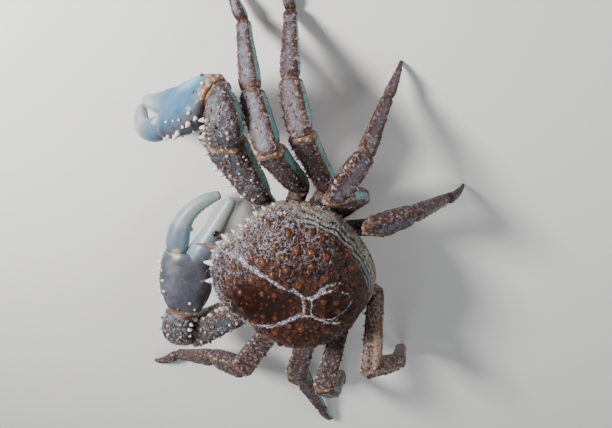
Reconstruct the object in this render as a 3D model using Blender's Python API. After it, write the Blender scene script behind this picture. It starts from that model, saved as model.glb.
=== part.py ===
"""West Indian spiny spider crab, life size, standing on its eight walking legs.

The shell, sternum, abdomen, eyes, antennae, mouthparts and every limb segment are closed
bodies of their own, which meet face to face across a thin gap. Lengths are in metres and
angles in degrees, +Z is up and the crab looks towards +Y, with its right side at +X.
A direction is a pair: the turn from +X about +Z, then the climb above the horizontal.
"""
import math
import random

import bmesh
import bpy
from mathutils import Vector
from mathutils.bvhtree import BVHTree
from mathutils.geometry import interpolate_bezier

GAP = 0.0003
FLOOR = 0.0

# The shell's middle lies off the origin, so that the span of the legs is centred on it,
# and the body is turned a little on its legs
SHELL_X = 0.0144
SHELL_Y = -0.0204
SHELL_TURN = -4.0

# Shell
RIM_HEIGHT = 0.071
RIM_HALF_WIDTH = 0.071
FRONT_REACH = 0.0704
REAR_REACH = -0.0653
DOME_RISE = 0.0425
SHELL_BOTTOM = 0.056
SHELL_TUCK = 0.86
RIM_POINTS = 44
DOME_RINGS = (0.16, 0.32, 0.47, 0.61, 0.73, 0.83, 0.91, 0.97)
HORN_LENGTH = 0.016
HORN_RADIUS = 0.0042
HORN_APART = 0.0085
HORN_SINK = 0.006

# Half of the furrow round the stomach, neck and heart regions, seen from above
FURROW = (
    (0.032, 0.032), (0.020, 0.010), (0.013, -0.002), (0.009, -0.010), (0.018, -0.024),
    (0.014, -0.034), (0.0, -0.050),
)

# Spines of the shell's edge: place along the half rim, length and radius
EDGE_SPINES = (
    (0.085, 0.0060, 0.0020), (0.130, 0.0055, 0.0020), (0.175, 0.0105, 0.0030),
    (0.220, 0.0065, 0.0022), (0.262, 0.0070, 0.0024), (0.304, 0.0065, 0.0024),
    (0.346, 0.0070, 0.0024), (0.388, 0.0060, 0.0022), (0.430, 0.0055, 0.0022),
    (0.475, 0.0045, 0.0020), (0.520, 0.0040, 0.0020), (0.565, 0.0040, 0.0020),
    (0.612, 0.0035, 0.0018), (0.660, 0.0035, 0.0018), (0.710, 0.0035, 0.0018),
    (0.765, 0.0030, 0.0018), (0.825, 0.0030, 0.0018), (0.890, 0.0030, 0.0018),
)

# Tubercles of the back: spacing, and the length and radius of the largest
TUBERCLE_SPACING = 0.0098
TUBERCLE_LENGTH = 0.0028
TUBERCLE_RADIUS = 0.0026
TUBERCLE_SCATTER = 0.0007
TUBERCLE_TRIES = 1500
BACK_SHARE = 0.90
FURROW_MARGIN = 0.0042
MIDDLE_HALF_WIDTH = 0.020
SPINE_SIDES = 5
SPINE_SINK = 0.0016
SPINE_CLEARANCE = 0.0012
SPINE_ROOM = 0.012

# Sternum and abdomen
STERNUM_HALF_WIDTH = 0.042
STERNUM_HALF_LENGTH = 0.047
STERNUM_MIDDLE = -0.004
STERNUM_BOTTOM = 0.025
ABDOMEN_THICKNESS = 0.0035
ABDOMEN_REACH = 0.020
ABDOMEN_HALF_WIDTH = 0.014

# Eyes and antennae: distance along from the root, then radius
EYE_SIZES = (
    (0.0, 0.0024), (0.004, 0.0024), (0.006, 0.0036), (0.009, 0.0040), (0.0118, 0.0030),
    (0.013, 0.0012),
)
ANTENNA_SIZES = ((0.0, 0.0026), (0.006, 0.0026), (0.009, 0.0016), (0.013, 0.0013), (0.018, 0.0008))

# Limbs: length of each segment from joint to joint, for each pair of walking legs
HIP_HEIGHT = 0.043
LEG_LENGTHS = {
    "leg2": (0.024, 0.082, 0.044, 0.060, 0.034),
    "leg3": (0.024, 0.080, 0.041, 0.056, 0.033),
    "leg4": (0.026, 0.070, 0.038, 0.052, 0.032),
    "leg5": (0.024, 0.064, 0.036, 0.050, 0.032),
}
LEG_WIDTH = {"leg2": 0.0190, "leg3": 0.0185, "leg4": 0.0170, "leg5": 0.0165}
LEG_ROOT = {
    "leg2": (0.042, 0.006),
    "leg3": (0.044, -0.012),
    "leg4": (0.041, -0.030),
    "leg5": (0.028, -0.046),
}
DACTYL_TIP = 0.0030

# Claw arms
ARM_ROOT = (0.037, 0.024)
ARM_LENGTHS = (0.022, 0.080, 0.034)
ARM_WIDTH = 0.028
PALM_LENGTH = 0.057
PALM_HALF_WIDTH = 0.0235
PALM_HALF_DEPTH = 0.0145
ELBOW_BOW = 0.48

# Fingers of a claw: how far along and across their middle lines run, in palm lengths and half
# widths, then their radius at places along them, and the teeth that face the other finger
FIXED_FINGER = ((0.82, -0.44), (1.40, -0.78), (1.91, -1.32))
MOVING_FINGER = {
    "arm_r": ((1.0, 0.45), (1.64, 0.50), (1.95, -1.02)),
    "arm_l": ((1.0, 0.45), (1.66, 0.64), (1.95, -0.80)),
}
FIXED_SIZES = (
    (0.0, 0.0098), (0.2, 0.0094), (0.45, 0.0082), (0.70, 0.0066), (0.9, 0.0050), (1.0, 0.0032),
)
MOVING_SIZES = (
    (0.0, 0.0088), (0.15, 0.0096), (0.40, 0.0080), (0.65, 0.0064), (0.88, 0.0046), (1.0, 0.0030),
)
FIXED_TEETH = ((0.62, 0.0018, 0.0018), (0.72, 0.0018, 0.0018), (0.82, 0.0016, 0.0016))
MOVING_TEETH = (
    (0.33, 0.0036, 0.0030), (0.62, 0.0016, 0.0017), (0.72, 0.0016, 0.0017),
    (0.82, 0.0015, 0.0015),
)

# Rows of spines on a limb segment: angle round it from its front side over the top, first and
# last place along it, count, length and radius
LEG_SPINES = {
    "merus": (
        (25, 0.22, 0.88, 6, 0.0034, 0.0017), (95, 0.30, 0.84, 4, 0.0024, 0.0017),
        (150, 0.26, 0.90, 5, 0.0028, 0.0017),
    ),
    "carpus": (
        (28, 0.24, 0.80, 4, 0.0028, 0.0015), (95, 0.36, 0.70, 2, 0.0018, 0.0015),
        (150, 0.30, 0.78, 3, 0.0022, 0.0015),
    ),
    "propodus": ((40, 0.20, 0.60, 3, 0.0016, 0.0012), (140, 0.28, 0.56, 2, 0.0015, 0.0012)),
}
ARM_SPINES = {
    "base": ((30, 0.62, 0.78, 2, 0.0026, 0.0016),),
    "merus": (
        (12, 0.14, 0.90, 8, 0.0050, 0.0022), (60, 0.20, 0.86, 6, 0.0028, 0.0021),
        (105, 0.26, 0.88, 6, 0.0026, 0.0021), (150, 0.20, 0.86, 6, 0.0032, 0.0020),
    ),
    "carpus": (
        (15, 0.30, 0.72, 3, 0.0036, 0.0020), (62, 0.26, 0.76, 4, 0.0038, 0.0020),
        (110, 0.34, 0.70, 3, 0.0034, 0.0020), (155, 0.30, 0.70, 3, 0.0034, 0.0020),
    ),
}
PALM_SPINES = (
    (0, 0.10, 0.90, 7, 0.0040, 0.0019), (32, 0.24, 0.62, 3, 0.0022, 0.0016),
    (-32, 0.20, 0.56, 3, 0.0022, 0.0016), (142, 0.14, 0.26, 2, 0.0020, 0.0016),
)
SPINE_SEED = 7

# Pose: direction of each segment from the body outwards
LEG_POSE = {
    "leg2_r": ((-22, -6), (9, 36), (19, -31), (19, -56), 20),
    "leg3_r": ((-36, -6), (9, 25), (15, -37), (4, -52), 0),
    "leg4_r": ((-54, -4), (14, 53), (-48, -47), (-33, -58), -30),
    "leg5_r": ((-90, -2), (2, 52), (-105, -42), (-119, -54), -110),
    "leg2_l": ((164, -4), (141, 12), (112, -34), (118, -27), 118),
    "leg3_l": ((176, -4), (162, 4), (182, -34), (192, -13), 195),
    "leg4_l": ((194, -2), (161, 37), (185, -36), (185, -61), 180),
    "leg5_l": ((228, -2), (177, 49), (231, -41), (180, -60), 180),
}
ARM_POSE = {
    "arm_r": ((11, 16), (13, 19), (-3, 3), (121, -23), 77),
    "arm_l": ((148, 4), (116, 6), (0, 11), (-12, -18), 7),
}

# Surfaces: colour, then roughness
FINISHES = {
    "shell": ((0.16, 0.07, 0.045), 0.6),
    "limb": ((0.30, 0.15, 0.13), 0.55),
    "claw": ((0.40, 0.42, 0.50), 0.3),
    "belly": ((0.62, 0.50, 0.38), 0.5),
    "eye": ((0.02, 0.02, 0.025), 0.15),
}

SIDES = {"r": 1.0, "l": -1.0}
LIMB_SEGMENTS = ("base", "merus", "carpus", "propodus", "dactyl")


def clear_scene():
    for thing in list(bpy.data.objects):
        bpy.data.objects.remove(thing, do_unlink=True)


def finish(name, kind):
    """Material of one node, in the colour and roughness of its kind of surface."""
    colour, roughness = FINISHES[kind]
    made = bpy.data.materials.new(f"{name}_{kind}")
    made.use_nodes = True
    shader = made.node_tree.nodes["Principled BSDF"]
    shader.inputs["Base Color"].default_value = (*colour, 1.0)
    shader.inputs["Roughness"].default_value = roughness
    shader.inputs["Metallic"].default_value = 0.0
    return made


def direction(turn, climb):
    """Unit vector of a turn about +Z and a climb above the horizontal."""
    turn, climb = math.radians(turn), math.radians(climb)
    level = math.cos(climb)
    return Vector((math.cos(turn) * level, math.sin(turn) * level, math.sin(climb)))


def level_side(axis):
    """Horizontal unit vector to the left of an axis."""
    side = Vector((0, 0, 1)).cross(axis)
    return side.normalized()


def make_object(name, rings, kind=None, start_tip=None, end_tip=None):
    """Closed body through rings of equal count, ended by flat caps or by a point."""
    count = len(rings[0])
    points = [point for ring in rings for point in ring]
    faces = []
    for row in range(len(rings) - 1):
        for column in range(count):
            following = (column + 1) % count
            low, high = row * count, (row + 1) * count
            faces.append((low + column, low + following, high + following, high + column))
    last = (len(rings) - 1) * count
    if start_tip is None:
        faces.append(tuple(reversed(range(count))))
    else:
        points.append(start_tip)
        pole = len(points) - 1
        faces += [(pole, (column + 1) % count, column) for column in range(count)]
    if end_tip is None:
        faces.append(tuple(range(last, last + count)))
    else:
        points.append(end_tip)
        pole = len(points) - 1
        faces += [(last + column, last + (column + 1) % count, pole) for column in range(count)]
    mesh = bpy.data.meshes.new(name)
    mesh.from_pydata([tuple(point) for point in points], [], faces)
    tidy = bmesh.new()
    tidy.from_mesh(mesh)
    bmesh.ops.recalc_face_normals(tidy, faces=tidy.faces)
    bmesh.ops.triangulate(tidy, faces=[face for face in tidy.faces if len(face.verts) > 3])
    tidy.to_mesh(mesh)
    tidy.free()
    if kind is not None:
        mesh.materials.append(finish(name, kind))
    mesh.shade_smooth()
    mesh.set_sharp_from_angle(angle=math.radians(40))
    made = bpy.data.objects.new(name, mesh)
    bpy.context.scene.collection.objects.link(made)
    return made


def keep_largest(thing):
    """Drop every closed surface but the one of greatest extent."""
    tidy = bmesh.new()
    tidy.from_mesh(thing.data)
    unseen = set(tidy.verts)
    bodies = []
    while unseen:
        stack = [unseen.pop()]
        body = list(stack)
        while stack:
            for edge in stack.pop().link_edges:
                for vert in edge.verts:
                    if vert in unseen:
                        unseen.remove(vert)
                        body.append(vert)
                        stack.append(vert)
        bodies.append(body)
    bodies.sort(key=len)
    for body in bodies[:-1]:
        bmesh.ops.delete(tidy, geom=body, context="VERTS")
    tidy.to_mesh(thing.data)
    tidy.free()


def boolean(thing, tools, operation):
    """Apply one Boolean of a list of closed tool objects, which it then removes."""
    group = bpy.data.collections.new("tools")
    bpy.context.scene.collection.children.link(group)
    for tool in tools:
        bpy.context.scene.collection.objects.unlink(tool)
        group.objects.link(tool)
    modifier = thing.modifiers.new("boolean", "BOOLEAN")
    modifier.operation = operation
    modifier.operand_type = "COLLECTION"
    modifier.collection = group
    modifier.solver = "EXACT"
    graph = bpy.context.evaluated_depsgraph_get()
    result = bpy.data.meshes.new_from_object(thing.evaluated_get(graph))
    own = thing.data.materials[0]
    thing.modifiers.clear()
    thing.data = result
    result.materials.clear()
    result.materials.append(own)
    for tool in tools:
        bpy.data.objects.remove(tool, do_unlink=True)
    bpy.data.collections.remove(group)
    keep_largest(thing)
    thing.data.shade_smooth()
    thing.data.set_sharp_from_angle(angle=math.radians(40))


def oval(count):
    """Unit circle points that start half a step past the side, so a flat lies on top."""
    for index in range(count):
        angle = 2 * math.pi * (index + 0.5) / count
        yield math.cos(angle), math.sin(angle)


def slide_to_plane(point, axis, plane_point, plane_normal):
    """Distance along an axis from a point to a plane."""
    return (plane_point - point).dot(plane_normal) / axis.dot(plane_normal)


def between(stations, along):
    """Sizes at a place along a list of stations, each a place and its sizes."""
    for first, second in zip(stations, stations[1:]):
        if along <= second[0]:
            mix = (along - first[0]) / (second[0] - first[0])
            return [low + (high - low) * mix for low, high in zip(first[1:], second[1:])]
    return list(stations[-1][1:])


class Segment:
    """Limb segment between two cut planes, swollen by a profile of half sizes.

    Its middle line runs straight, or bends towards a pull point where one is given.
    """

    def __init__(self, start, end, side, profile, start_cut, end_cut, pull=None):
        self.line = (start, (start + end) / 2 if pull is None else pull, end)
        self.side = side
        self.profile = profile
        self.start_cut = start_cut
        self.end_cut = end_cut

    def frame(self, along):
        """Place on the middle line with its forward, sideways and upward directions."""
        way = bezier_way(*self.line, along)
        side = (self.side - self.side.project(way)).normalized()
        return bezier(*self.line, along), way, side, way.cross(side)

    def point(self, along, across, rise):
        """Point of the surface at a fraction of the length and a place round the oval."""
        half_width, half_depth = between(self.profile, along)
        shift = 0.0
        for mix, end, cut in ((1 - along, 0.0, self.start_cut), (along, 1.0, self.end_cut)):
            place, way, side, up = self.frame(end)
            corner = place + side * (across * half_width) + up * (rise * half_depth)
            shift += mix * slide_to_plane(corner, way, *cut)
        place, way, side, up = self.frame(along)
        return place + side * (across * half_width) + up * (rise * half_depth) + way * shift

    def rings(self, count):
        return [
            [self.point(station[0], across, rise) for across, rise in oval(count)]
            for station in self.profile
        ]


def mitre(joint, inward, outward):
    """Cut planes of the two segments at a joint: the end of one and the start of the next."""
    normal = (inward + outward).normalized()
    return (joint - normal * GAP / 2, normal), (joint + normal * GAP / 2, normal)


def shell_rim():
    """Rim of the shell seen from above, as points round it from the right side forwards."""
    width, front, rear = RIM_HALF_WIDTH, FRONT_REACH, REAR_REACH
    half = (
        (0.0, front), (0.17 * width, front * 0.98), (0.36 * width, front * 0.88),
        (0.57 * width, front * 0.65), (0.82 * width, front * 0.41), (0.96 * width, front * 0.20),
        (width, rear * 0.03), (0.93 * width, rear * 0.36), (0.755 * width, rear * 0.63),
        (0.47 * width, rear * 0.84), (0.22 * width, rear * 0.96), (0.0, rear),
    )
    closed = list(half) + [(-x, y) for x, y in reversed(half[1:-1])]
    count = len(closed)
    dense = []
    for index in range(count):
        p0, p1, p2, p3 = (Vector((*closed[(index + k - 1) % count], 0)) for k in range(4))
        handles = p1 + (p2 - p0) / 6, p2 - (p3 - p1) / 6
        dense += interpolate_bezier(p1, *handles, p2, 13)[:-1]
    return resample(dense, RIM_POINTS)


def resample(loop, count):
    """Points at even steps along a closed loop, which starts at the middle of the front."""
    closed = loop + loop[:1]
    reach = [0.0]
    for first, second in zip(closed, closed[1:]):
        reach.append(reach[-1] + (second - first).length)
    even = []
    index = 0
    for step in range(count):
        wanted = reach[-1] * step / count
        while reach[index + 1] < wanted:
            index += 1
        mix = (wanted - reach[index]) / (reach[index + 1] - reach[index])
        even.append(closed[index].lerp(closed[index + 1], mix))
    return even


def swelling(x, y, centre_x, centre_y, radius_x, radius_y):
    """Rounded rise that fades out from a centre."""
    return math.exp(-(((x - centre_x) / radius_x) ** 2) - ((y - centre_y) / radius_y) ** 2)


def dome_height(x, y, ring):
    """Height of the shell above its rim: one dome, with its regions raised on it."""
    height = DOME_RISE * (1.0 - ring ** 3.4) ** 0.57
    flank = swelling(abs(x), y, 0.036, -0.008, 0.020, 0.026)
    stomach = swelling(x, y, 0.0, 0.026, 0.022, 0.024)
    heart = swelling(x, y, 0.0, -0.026, 0.013, 0.014)
    neck = swelling(x, y, 0.0, -0.007, 0.040, 0.006)
    fade = 1.0 - ring ** 3
    return height + fade * (0.0025 * flank + 0.0020 * stomach + 0.0025 * heart - 0.0015 * neck)


def shell_way(local):
    """Direction given on the straight body, turned with it."""
    turn = math.radians(SHELL_TURN)
    x = local.x * math.cos(turn) - local.y * math.sin(turn)
    y = local.x * math.sin(turn) + local.y * math.cos(turn)
    return Vector((x, y, local.z))


def shell_place(local):
    """Point given on the straight body, turned with it and moved to its place."""
    return shell_way(local) + Vector((SHELL_X, SHELL_Y, 0))


def build_shell():
    """Domed back plate with two horns in front, closed below by a flat face."""
    rim = shell_rim()
    rings = []
    for ring in DOME_RINGS:
        row = []
        for edge in rim:
            x, y = edge.x * ring, edge.y * ring
            row.append(shell_place(Vector((x, y, RIM_HEIGHT + dome_height(x, y, ring)))))
        rings.append(row)
    for scale, height in ((1.0, RIM_HEIGHT), (0.965, RIM_HEIGHT - 0.008), (SHELL_TUCK, SHELL_BOTTOM)):
        rings.append([shell_place(Vector((e.x * scale, e.y * scale, height))) for e in rim])
    top = shell_place(Vector((0, 0, RIM_HEIGHT + dome_height(0, 0, 0.0))))
    shell = make_object("carapace", rings, "shell", start_tip=top)
    horns = [horn(sign) for sign in (1, -1)]
    boolean(shell, horns, "UNION")
    return shell


def spike(root, way, radius, length, sink, sides):
    """Cone with its foot sunk below a surface point."""
    way = way.normalized()
    side = way.orthogonal().normalized()
    up = way.cross(side)
    foot = root - way * sink
    ring = []
    for index in range(sides):
        angle = 2 * math.pi * index / sides
        ring.append(foot + side * (radius * math.cos(angle)) + up * (radius * math.sin(angle)))
    return make_object("spike", [ring], end_tip=root + way * length)


def horn(sign):
    root = shell_place(Vector((sign * HORN_APART, FRONT_REACH * 0.90, RIM_HEIGHT + 0.006)))
    way = shell_way(Vector((sign * 0.16, 1.0, 0.10)))
    return spike(root, way, HORN_RADIUS, HORN_LENGTH, HORN_SINK, 7)


def nearest_gap(point, trees):
    """Distance from a point to the nearest of several surfaces."""
    return min(tree.find_nearest(point)[3] for tree in trees)


def grow(thing, spines, neighbours):
    """Join spines to a node, leaving out any that would come too near another node."""
    low, high = bounds_of(thing)
    near = [tree for tree, box in neighbours if boxes_meet(box, (low, high))]
    tools = []
    for root, way, radius, length in spines:
        way = way.normalized()
        spots = [root + way * (length * part) for part in (0.0, 0.5, 1.0)]
        if near and min(nearest_gap(spot, near) for spot in spots) < radius + SPINE_CLEARANCE:
            continue
        tools.append(spike(root, way, radius, length, SPINE_SINK, SPINE_SIDES))
    if tools:
        boolean(thing, tools, "UNION")


def bounds_of(thing):
    """Lowest and highest corner of a mesh, with room for spines round it."""
    axes = list(zip(*(tuple(vert.co) for vert in thing.data.vertices)))
    low = [min(axis) - SPINE_ROOM for axis in axes]
    high = [max(axis) + SPINE_ROOM for axis in axes]
    return low, high


def boxes_meet(first, second):
    """Whether two boxes, each a low and a high corner, overlap."""
    return all(
        low_a <= high_b and low_b <= high_a
        for low_a, high_a, low_b, high_b in zip(first[0], first[1], second[0], second[1])
    )


def segment_spines(segment, rows, draw, mirrored=False):
    """Root, way, radius and length of each spine in rows along a segment."""
    spines = []
    for angle, first, last, count, length, radius in rows:
        for index in range(count):
            along = first + (last - first) * index / max(count - 1, 1)
            along += draw.uniform(-0.012, 0.012)
            turn = math.radians(angle + draw.uniform(-7, 7))
            across, rise = math.cos(turn), math.sin(turn)
            if mirrored:
                across = -across
            _, forward, side, up = segment.frame(along)
            way = side * across + up * rise + forward * 0.20
            size = draw.uniform(0.80, 1.12)
            root = segment.point(along, across, rise)
            spines.append((root, way, radius * math.sqrt(size), length * size))
    return spines


def half_rim_point(share):
    """Point of the right half of the rim, at a share of the way from the front to the rear."""
    rim = shell_rim()
    place = share * RIM_POINTS / 2
    index = int(place)
    return rim[index].lerp(rim[index + 1], place - index)


def edge_spines(draw):
    """Spines that stand out round the edge of the shell, the same on both sides."""
    spines = []
    for share, length, radius in EDGE_SPINES:
        edge = half_rim_point(share)
        step = half_rim_point(share + 0.02) - half_rim_point(share - 0.02)
        outward = Vector((-step.y, step.x, 0)).normalized()
        if outward.x < 0:
            outward.negate()
        for sign in (1, -1):
            root = Vector((edge.x * sign, edge.y, RIM_HEIGHT + 0.001))
            lean = Vector((outward.x * sign, outward.y + 0.25, 0.22 + draw.uniform(-0.08, 0.08)))
            size = draw.uniform(0.9, 1.1)
            spines.append((shell_place(root), shell_way(lean), radius, length * size))
    return spines


def furrow_distance(x, y):
    """Distance on the plan from a point to the furrow between the shell's regions."""
    spot = Vector((abs(x), y, 0))
    nearest = 1.0
    for first, second in zip(FURROW, FURROW[1:]):
        start, run = Vector((*first, 0)), Vector((second[0] - first[0], second[1] - first[1], 0))
        mix = min(1.0, max(0.0, (spot - start).dot(run) / run.length_squared))
        nearest = min(nearest, (spot - start - run * mix).length)
    return nearest


def tubercle_spots(draw):
    """Places on the right half of the back, spread evenly at random, off the furrow."""
    spots = []
    for _ in range(TUBERCLE_TRIES):
        x = draw.uniform(TUBERCLE_SPACING / 2, RIM_HALF_WIDTH)
        y = draw.uniform(REAR_REACH, FRONT_REACH)
        reach = FRONT_REACH if y > 0 else REAR_REACH
        if math.hypot(x / RIM_HALF_WIDTH, y / reach) > BACK_SHARE:
            continue
        if furrow_distance(x, y) < FURROW_MARGIN:
            continue
        if all(math.hypot(x - a, y - b) > TUBERCLE_SPACING for a, b in spots):
            spots.append((x, y))
    return spots


def back_tubercles(tree, draw):
    """Blunt tubercles over both halves of the back, smaller on the stomach and heart."""
    spines = []
    scatter = TUBERCLE_SCATTER
    for x, y in tubercle_spots(draw):
        small = x < MIDDLE_HALF_WIDTH
        size = draw.uniform(0.62, 0.80) if small else draw.uniform(0.75, 1.15)
        for sign in (1, -1):
            shift = Vector((draw.uniform(-scatter, scatter), draw.uniform(-scatter, scatter), 0))
            above = shell_place(Vector((x * sign, y, RIM_HEIGHT + DOME_RISE * 2)) + shift)
            root, normal, _, _ = tree.ray_cast(above, Vector((0, 0, -1)))
            spines.append((root, normal, TUBERCLE_RADIUS * size, TUBERCLE_LENGTH * size))
    return spines


def build_sternum():
    """Breast plate under the shell, whose upright sides carry the limbs."""
    top = SHELL_BOTTOM - GAP
    levels = (
        (0.62, STERNUM_BOTTOM), (0.90, STERNUM_BOTTOM + 0.006), (1.0, STERNUM_BOTTOM + 0.012),
        (1.0, top),
    )
    rings = []
    for scale, height in levels:
        row = []
        for across, along in oval(20):
            x = across * STERNUM_HALF_WIDTH * scale
            y = STERNUM_MIDDLE + along * STERNUM_HALF_LENGTH * scale
            row.append(shell_place(Vector((x, y, height))))
        rings.append(row)
    return make_object("sternum", rings, "belly")


def surface_of(thing):
    """Search tree of an object's triangles, in world space."""
    graph = bpy.context.evaluated_depsgraph_get()
    return BVHTree.FromObject(thing, graph)


def face_plane(tree, outside, inward):
    """Plane just clear of the first face that a ray meets, with its outward normal."""
    place, normal, _, _ = tree.ray_cast(outside, inward)
    return place + normal * GAP, normal


def build_abdomen():
    """Tail flap folded forwards under the sternum, wider at its root."""
    top = STERNUM_BOTTOM - GAP
    outline = (
        (ABDOMEN_HALF_WIDTH, -0.030), (ABDOMEN_HALF_WIDTH, -0.018), (0.010, -0.004),
        (0.007, 0.008), (0.0035, ABDOMEN_REACH),
    )
    loop = list(outline) + [(-x, y) for x, y in reversed(outline)]
    rings = []
    low = top - ABDOMEN_THICKNESS
    for height, scale in ((low, 0.86), (low + ABDOMEN_THICKNESS / 2, 1.0), (top, 1.0)):
        rings.append([shell_place(Vector((x * scale, y * scale, height))) for x, y in loop])
    return make_object("abdomen", rings, "belly")


def joints_of(start, ways, lengths):
    """Joint centres along a limb."""
    joints = [start]
    for way, length in zip(ways, lengths):
        joints.append(joints[-1] + way * length)
    return joints


def limb_root(place, side_name):
    return shell_place(Vector((place[0] * SIDES[side_name], place[1], HIP_HEIGHT)))


def leg_profiles(width):
    """Fraction of length, half width and half depth of each walking leg segment."""
    half = width / 2
    return {
        "base": ((0.0, 0.74, 0.72), (0.5, 0.80, 0.78), (1.0, 0.78, 0.74)),
        "merus": (
            (0.0, 0.78, 0.74), (0.12, 0.90, 0.86), (0.40, 0.94, 0.92), (0.72, 1.0, 0.96),
            (0.90, 1.04, 0.98), (1.0, 0.84, 0.78),
        ),
        "carpus": (
            (0.0, 0.84, 0.78), (0.16, 1.02, 0.92), (0.45, 1.0, 0.90), (0.75, 0.98, 0.86),
            (0.92, 0.88, 0.78), (1.0, 0.66, 0.62),
        ),
        "propodus": (
            (0.0, 0.66, 0.62), (0.12, 0.80, 0.74), (0.45, 0.70, 0.64), (0.80, 0.58, 0.54),
            (0.94, 0.56, 0.52), (1.0, 0.42, 0.40),
        ),
        "half": half,
    }


def scaled(profile, half):
    return [(along, width * half, depth * half) for along, width, depth in profile]


def build_leg(name, sternum_tree, segments):
    """Base, merus, carpus, propodus and dactyl of one walking leg, ending on the floor."""
    pair, side_name = name.split("_")
    lengths = LEG_LENGTHS[pair]
    *pose, tip_turn = LEG_POSE[name]
    ways = [direction(*angles) for angles in pose]
    joints = joints_of(limb_root(LEG_ROOT[pair], side_name), ways, lengths)
    ankle = joints[-1]
    reach = math.sqrt(lengths[4] ** 2 - (ankle.z - FLOOR) ** 2)
    level = direction(tip_turn, 0)
    tip = Vector((ankle.x, ankle.y, FLOOR)) + level * reach
    profiles = leg_profiles(LEG_WIDTH[pair])
    half = profiles["half"]
    start_cut = face_plane(sternum_tree, joints[1], -ways[0])
    ways.append((tip - ankle).normalized())
    for index, part in enumerate(LIMB_SEGMENTS[:4]):
        end_cut, next_cut = mitre(joints[index + 1], ways[index], ways[index + 1])
        segment = Segment(
            joints[index], joints[index + 1], level_side(ways[index]),
            scaled(profiles[part], half), start_cut, end_cut,
        )
        make_object(f"{name}_{part}", segment.rings(8), "limb")
        segments[f"{name}_{part}"] = segment
        start_cut = next_cut
    build_dactyl(name, ankle, tip, half, start_cut)


def build_dactyl(name, ankle, tip, half, start_cut):
    """Arched claw of a walking leg, which stands on a small flat."""
    axis = (tip - ankle).normalized()
    side = level_side(axis)
    arch = (tip - ankle).length * 0.16
    bow = (ankle + tip) / 2 + Vector((0, 0, 1)) * arch + Vector((axis.x, axis.y, 0)) * arch
    rings = []
    for along, size in ((0.0, 0.42), (0.14, 0.54), (0.40, 0.44), (0.70, 0.31), (1.0, 0.0)):
        place = bezier(ankle, bow, tip, along)
        forward = bezier_way(ankle, bow, tip, along)
        up = forward.cross(side)
        radius = half * size if along < 1.0 else DACTYL_TIP / 2
        row = []
        for across, rise in oval(8):
            point = place + side * (across * radius) + up * (rise * radius)
            if along == 0.0:
                point += forward * slide_to_plane(point, forward, *start_cut)
            if along == 1.0:
                flat = (Vector((0, 0, FLOOR)), Vector((0, 0, 1)))
                point += forward * slide_to_plane(point, forward, *flat)
            row.append(point)
        rings.append(row)
    return make_object(f"{name}_dactyl", rings, "limb")


def bezier(start, pull, end, mix):
    return start * (1 - mix) ** 2 + pull * (2 * mix * (1 - mix)) + end * mix ** 2


def bezier_way(start, pull, end, mix):
    return ((pull - start) * (1 - mix) + (end - pull) * mix).normalized()


def arm_profiles():
    """Fraction of length, half width and half depth of the claw arm, in arm half widths."""
    return {
        "base": ((0.0, 0.58, 0.56), (0.5, 0.62, 0.60), (1.0, 0.60, 0.56)),
        "merus": (
            (0.0, 0.60, 0.56), (0.12, 0.78, 0.72), (0.40, 0.92, 0.86), (0.70, 1.02, 0.94),
            (0.88, 1.04, 0.96), (1.0, 0.82, 0.78),
        ),
        "carpus": (
            (0.0, 0.82, 0.78), (0.22, 1.0, 0.96), (0.50, 1.04, 1.0), (0.80, 0.92, 0.86),
            (1.0, 0.68, 0.66),
        ),
    }


def build_arm(name, sternum_tree, segments, teeth):
    """Base, merus, carpus, palm with its fixed finger, and movable finger of one claw arm."""
    side_name = name.split("_")[1]
    *pose, roll = ARM_POSE[name]
    ways = [direction(*angles) for angles in pose]
    joints = joints_of(limb_root(ARM_ROOT, side_name), ways, ARM_LENGTHS)
    half = ARM_WIDTH / 2
    start_cut = face_plane(sternum_tree, joints[1], -ways[0])
    pull = elbow_pull(joints[2], joints[3], ways[1], ways[3])
    pulls = {"carpus": pull}
    enter = [ways[0], ways[1], (pull - joints[2]).normalized(), ways[3]]
    leave = [ways[0], ways[1], (joints[3] - pull).normalized()]
    for index, part in enumerate(LIMB_SEGMENTS[:3]):
        end_cut, next_cut = mitre(joints[index + 1], leave[index], enter[index + 1])
        segment = Segment(
            joints[index], joints[index + 1], level_side(ways[index]),
            scaled(arm_profiles()[part], half), start_cut, end_cut, pulls.get(part),
        )
        make_object(f"{name}_{part}", segment.rings(10), "limb")
        segments[f"{name}_{part}"] = segment
        start_cut = next_cut
    wrist, way = joints[-1], ways[-1]
    left = level_side(way)
    turn = math.radians(roll)
    spread = left * math.cos(turn) + way.cross(left) * math.sin(turn)
    segments[f"{name}_propodus"] = build_palm(name, wrist, way, spread, start_cut)
    line = finger_line(MOVING_FINGER[name], wrist + way * GAP, way, spread)
    finger(f"{name}_dactyl", line, spread, MOVING_SIZES, (line[0], way), "claw")
    teeth[f"{name}_dactyl"] = finger_teeth(line, -spread, MOVING_SIZES, MOVING_TEETH)
    line = finger_line(FIXED_FINGER, wrist, way, spread)
    teeth[f"{name}_propodus"] = finger_teeth(line, spread, FIXED_SIZES, FIXED_TEETH)


def elbow_pull(start, end, before, after):
    """Point that bows a segment so that it shares the bends at its two ends."""
    axis = end - start
    lean = before - after
    lean -= lean.project(axis)
    return (start + end) / 2 + lean.normalized() * (axis.length * ELBOW_BOW)


def finger_line(stations, wrist, way, spread):
    """Start, pull point and tip of a finger's middle line."""
    return [
        wrist + way * (along * PALM_LENGTH) + spread * (across * PALM_HALF_WIDTH)
        for along, across in stations
    ]


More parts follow.
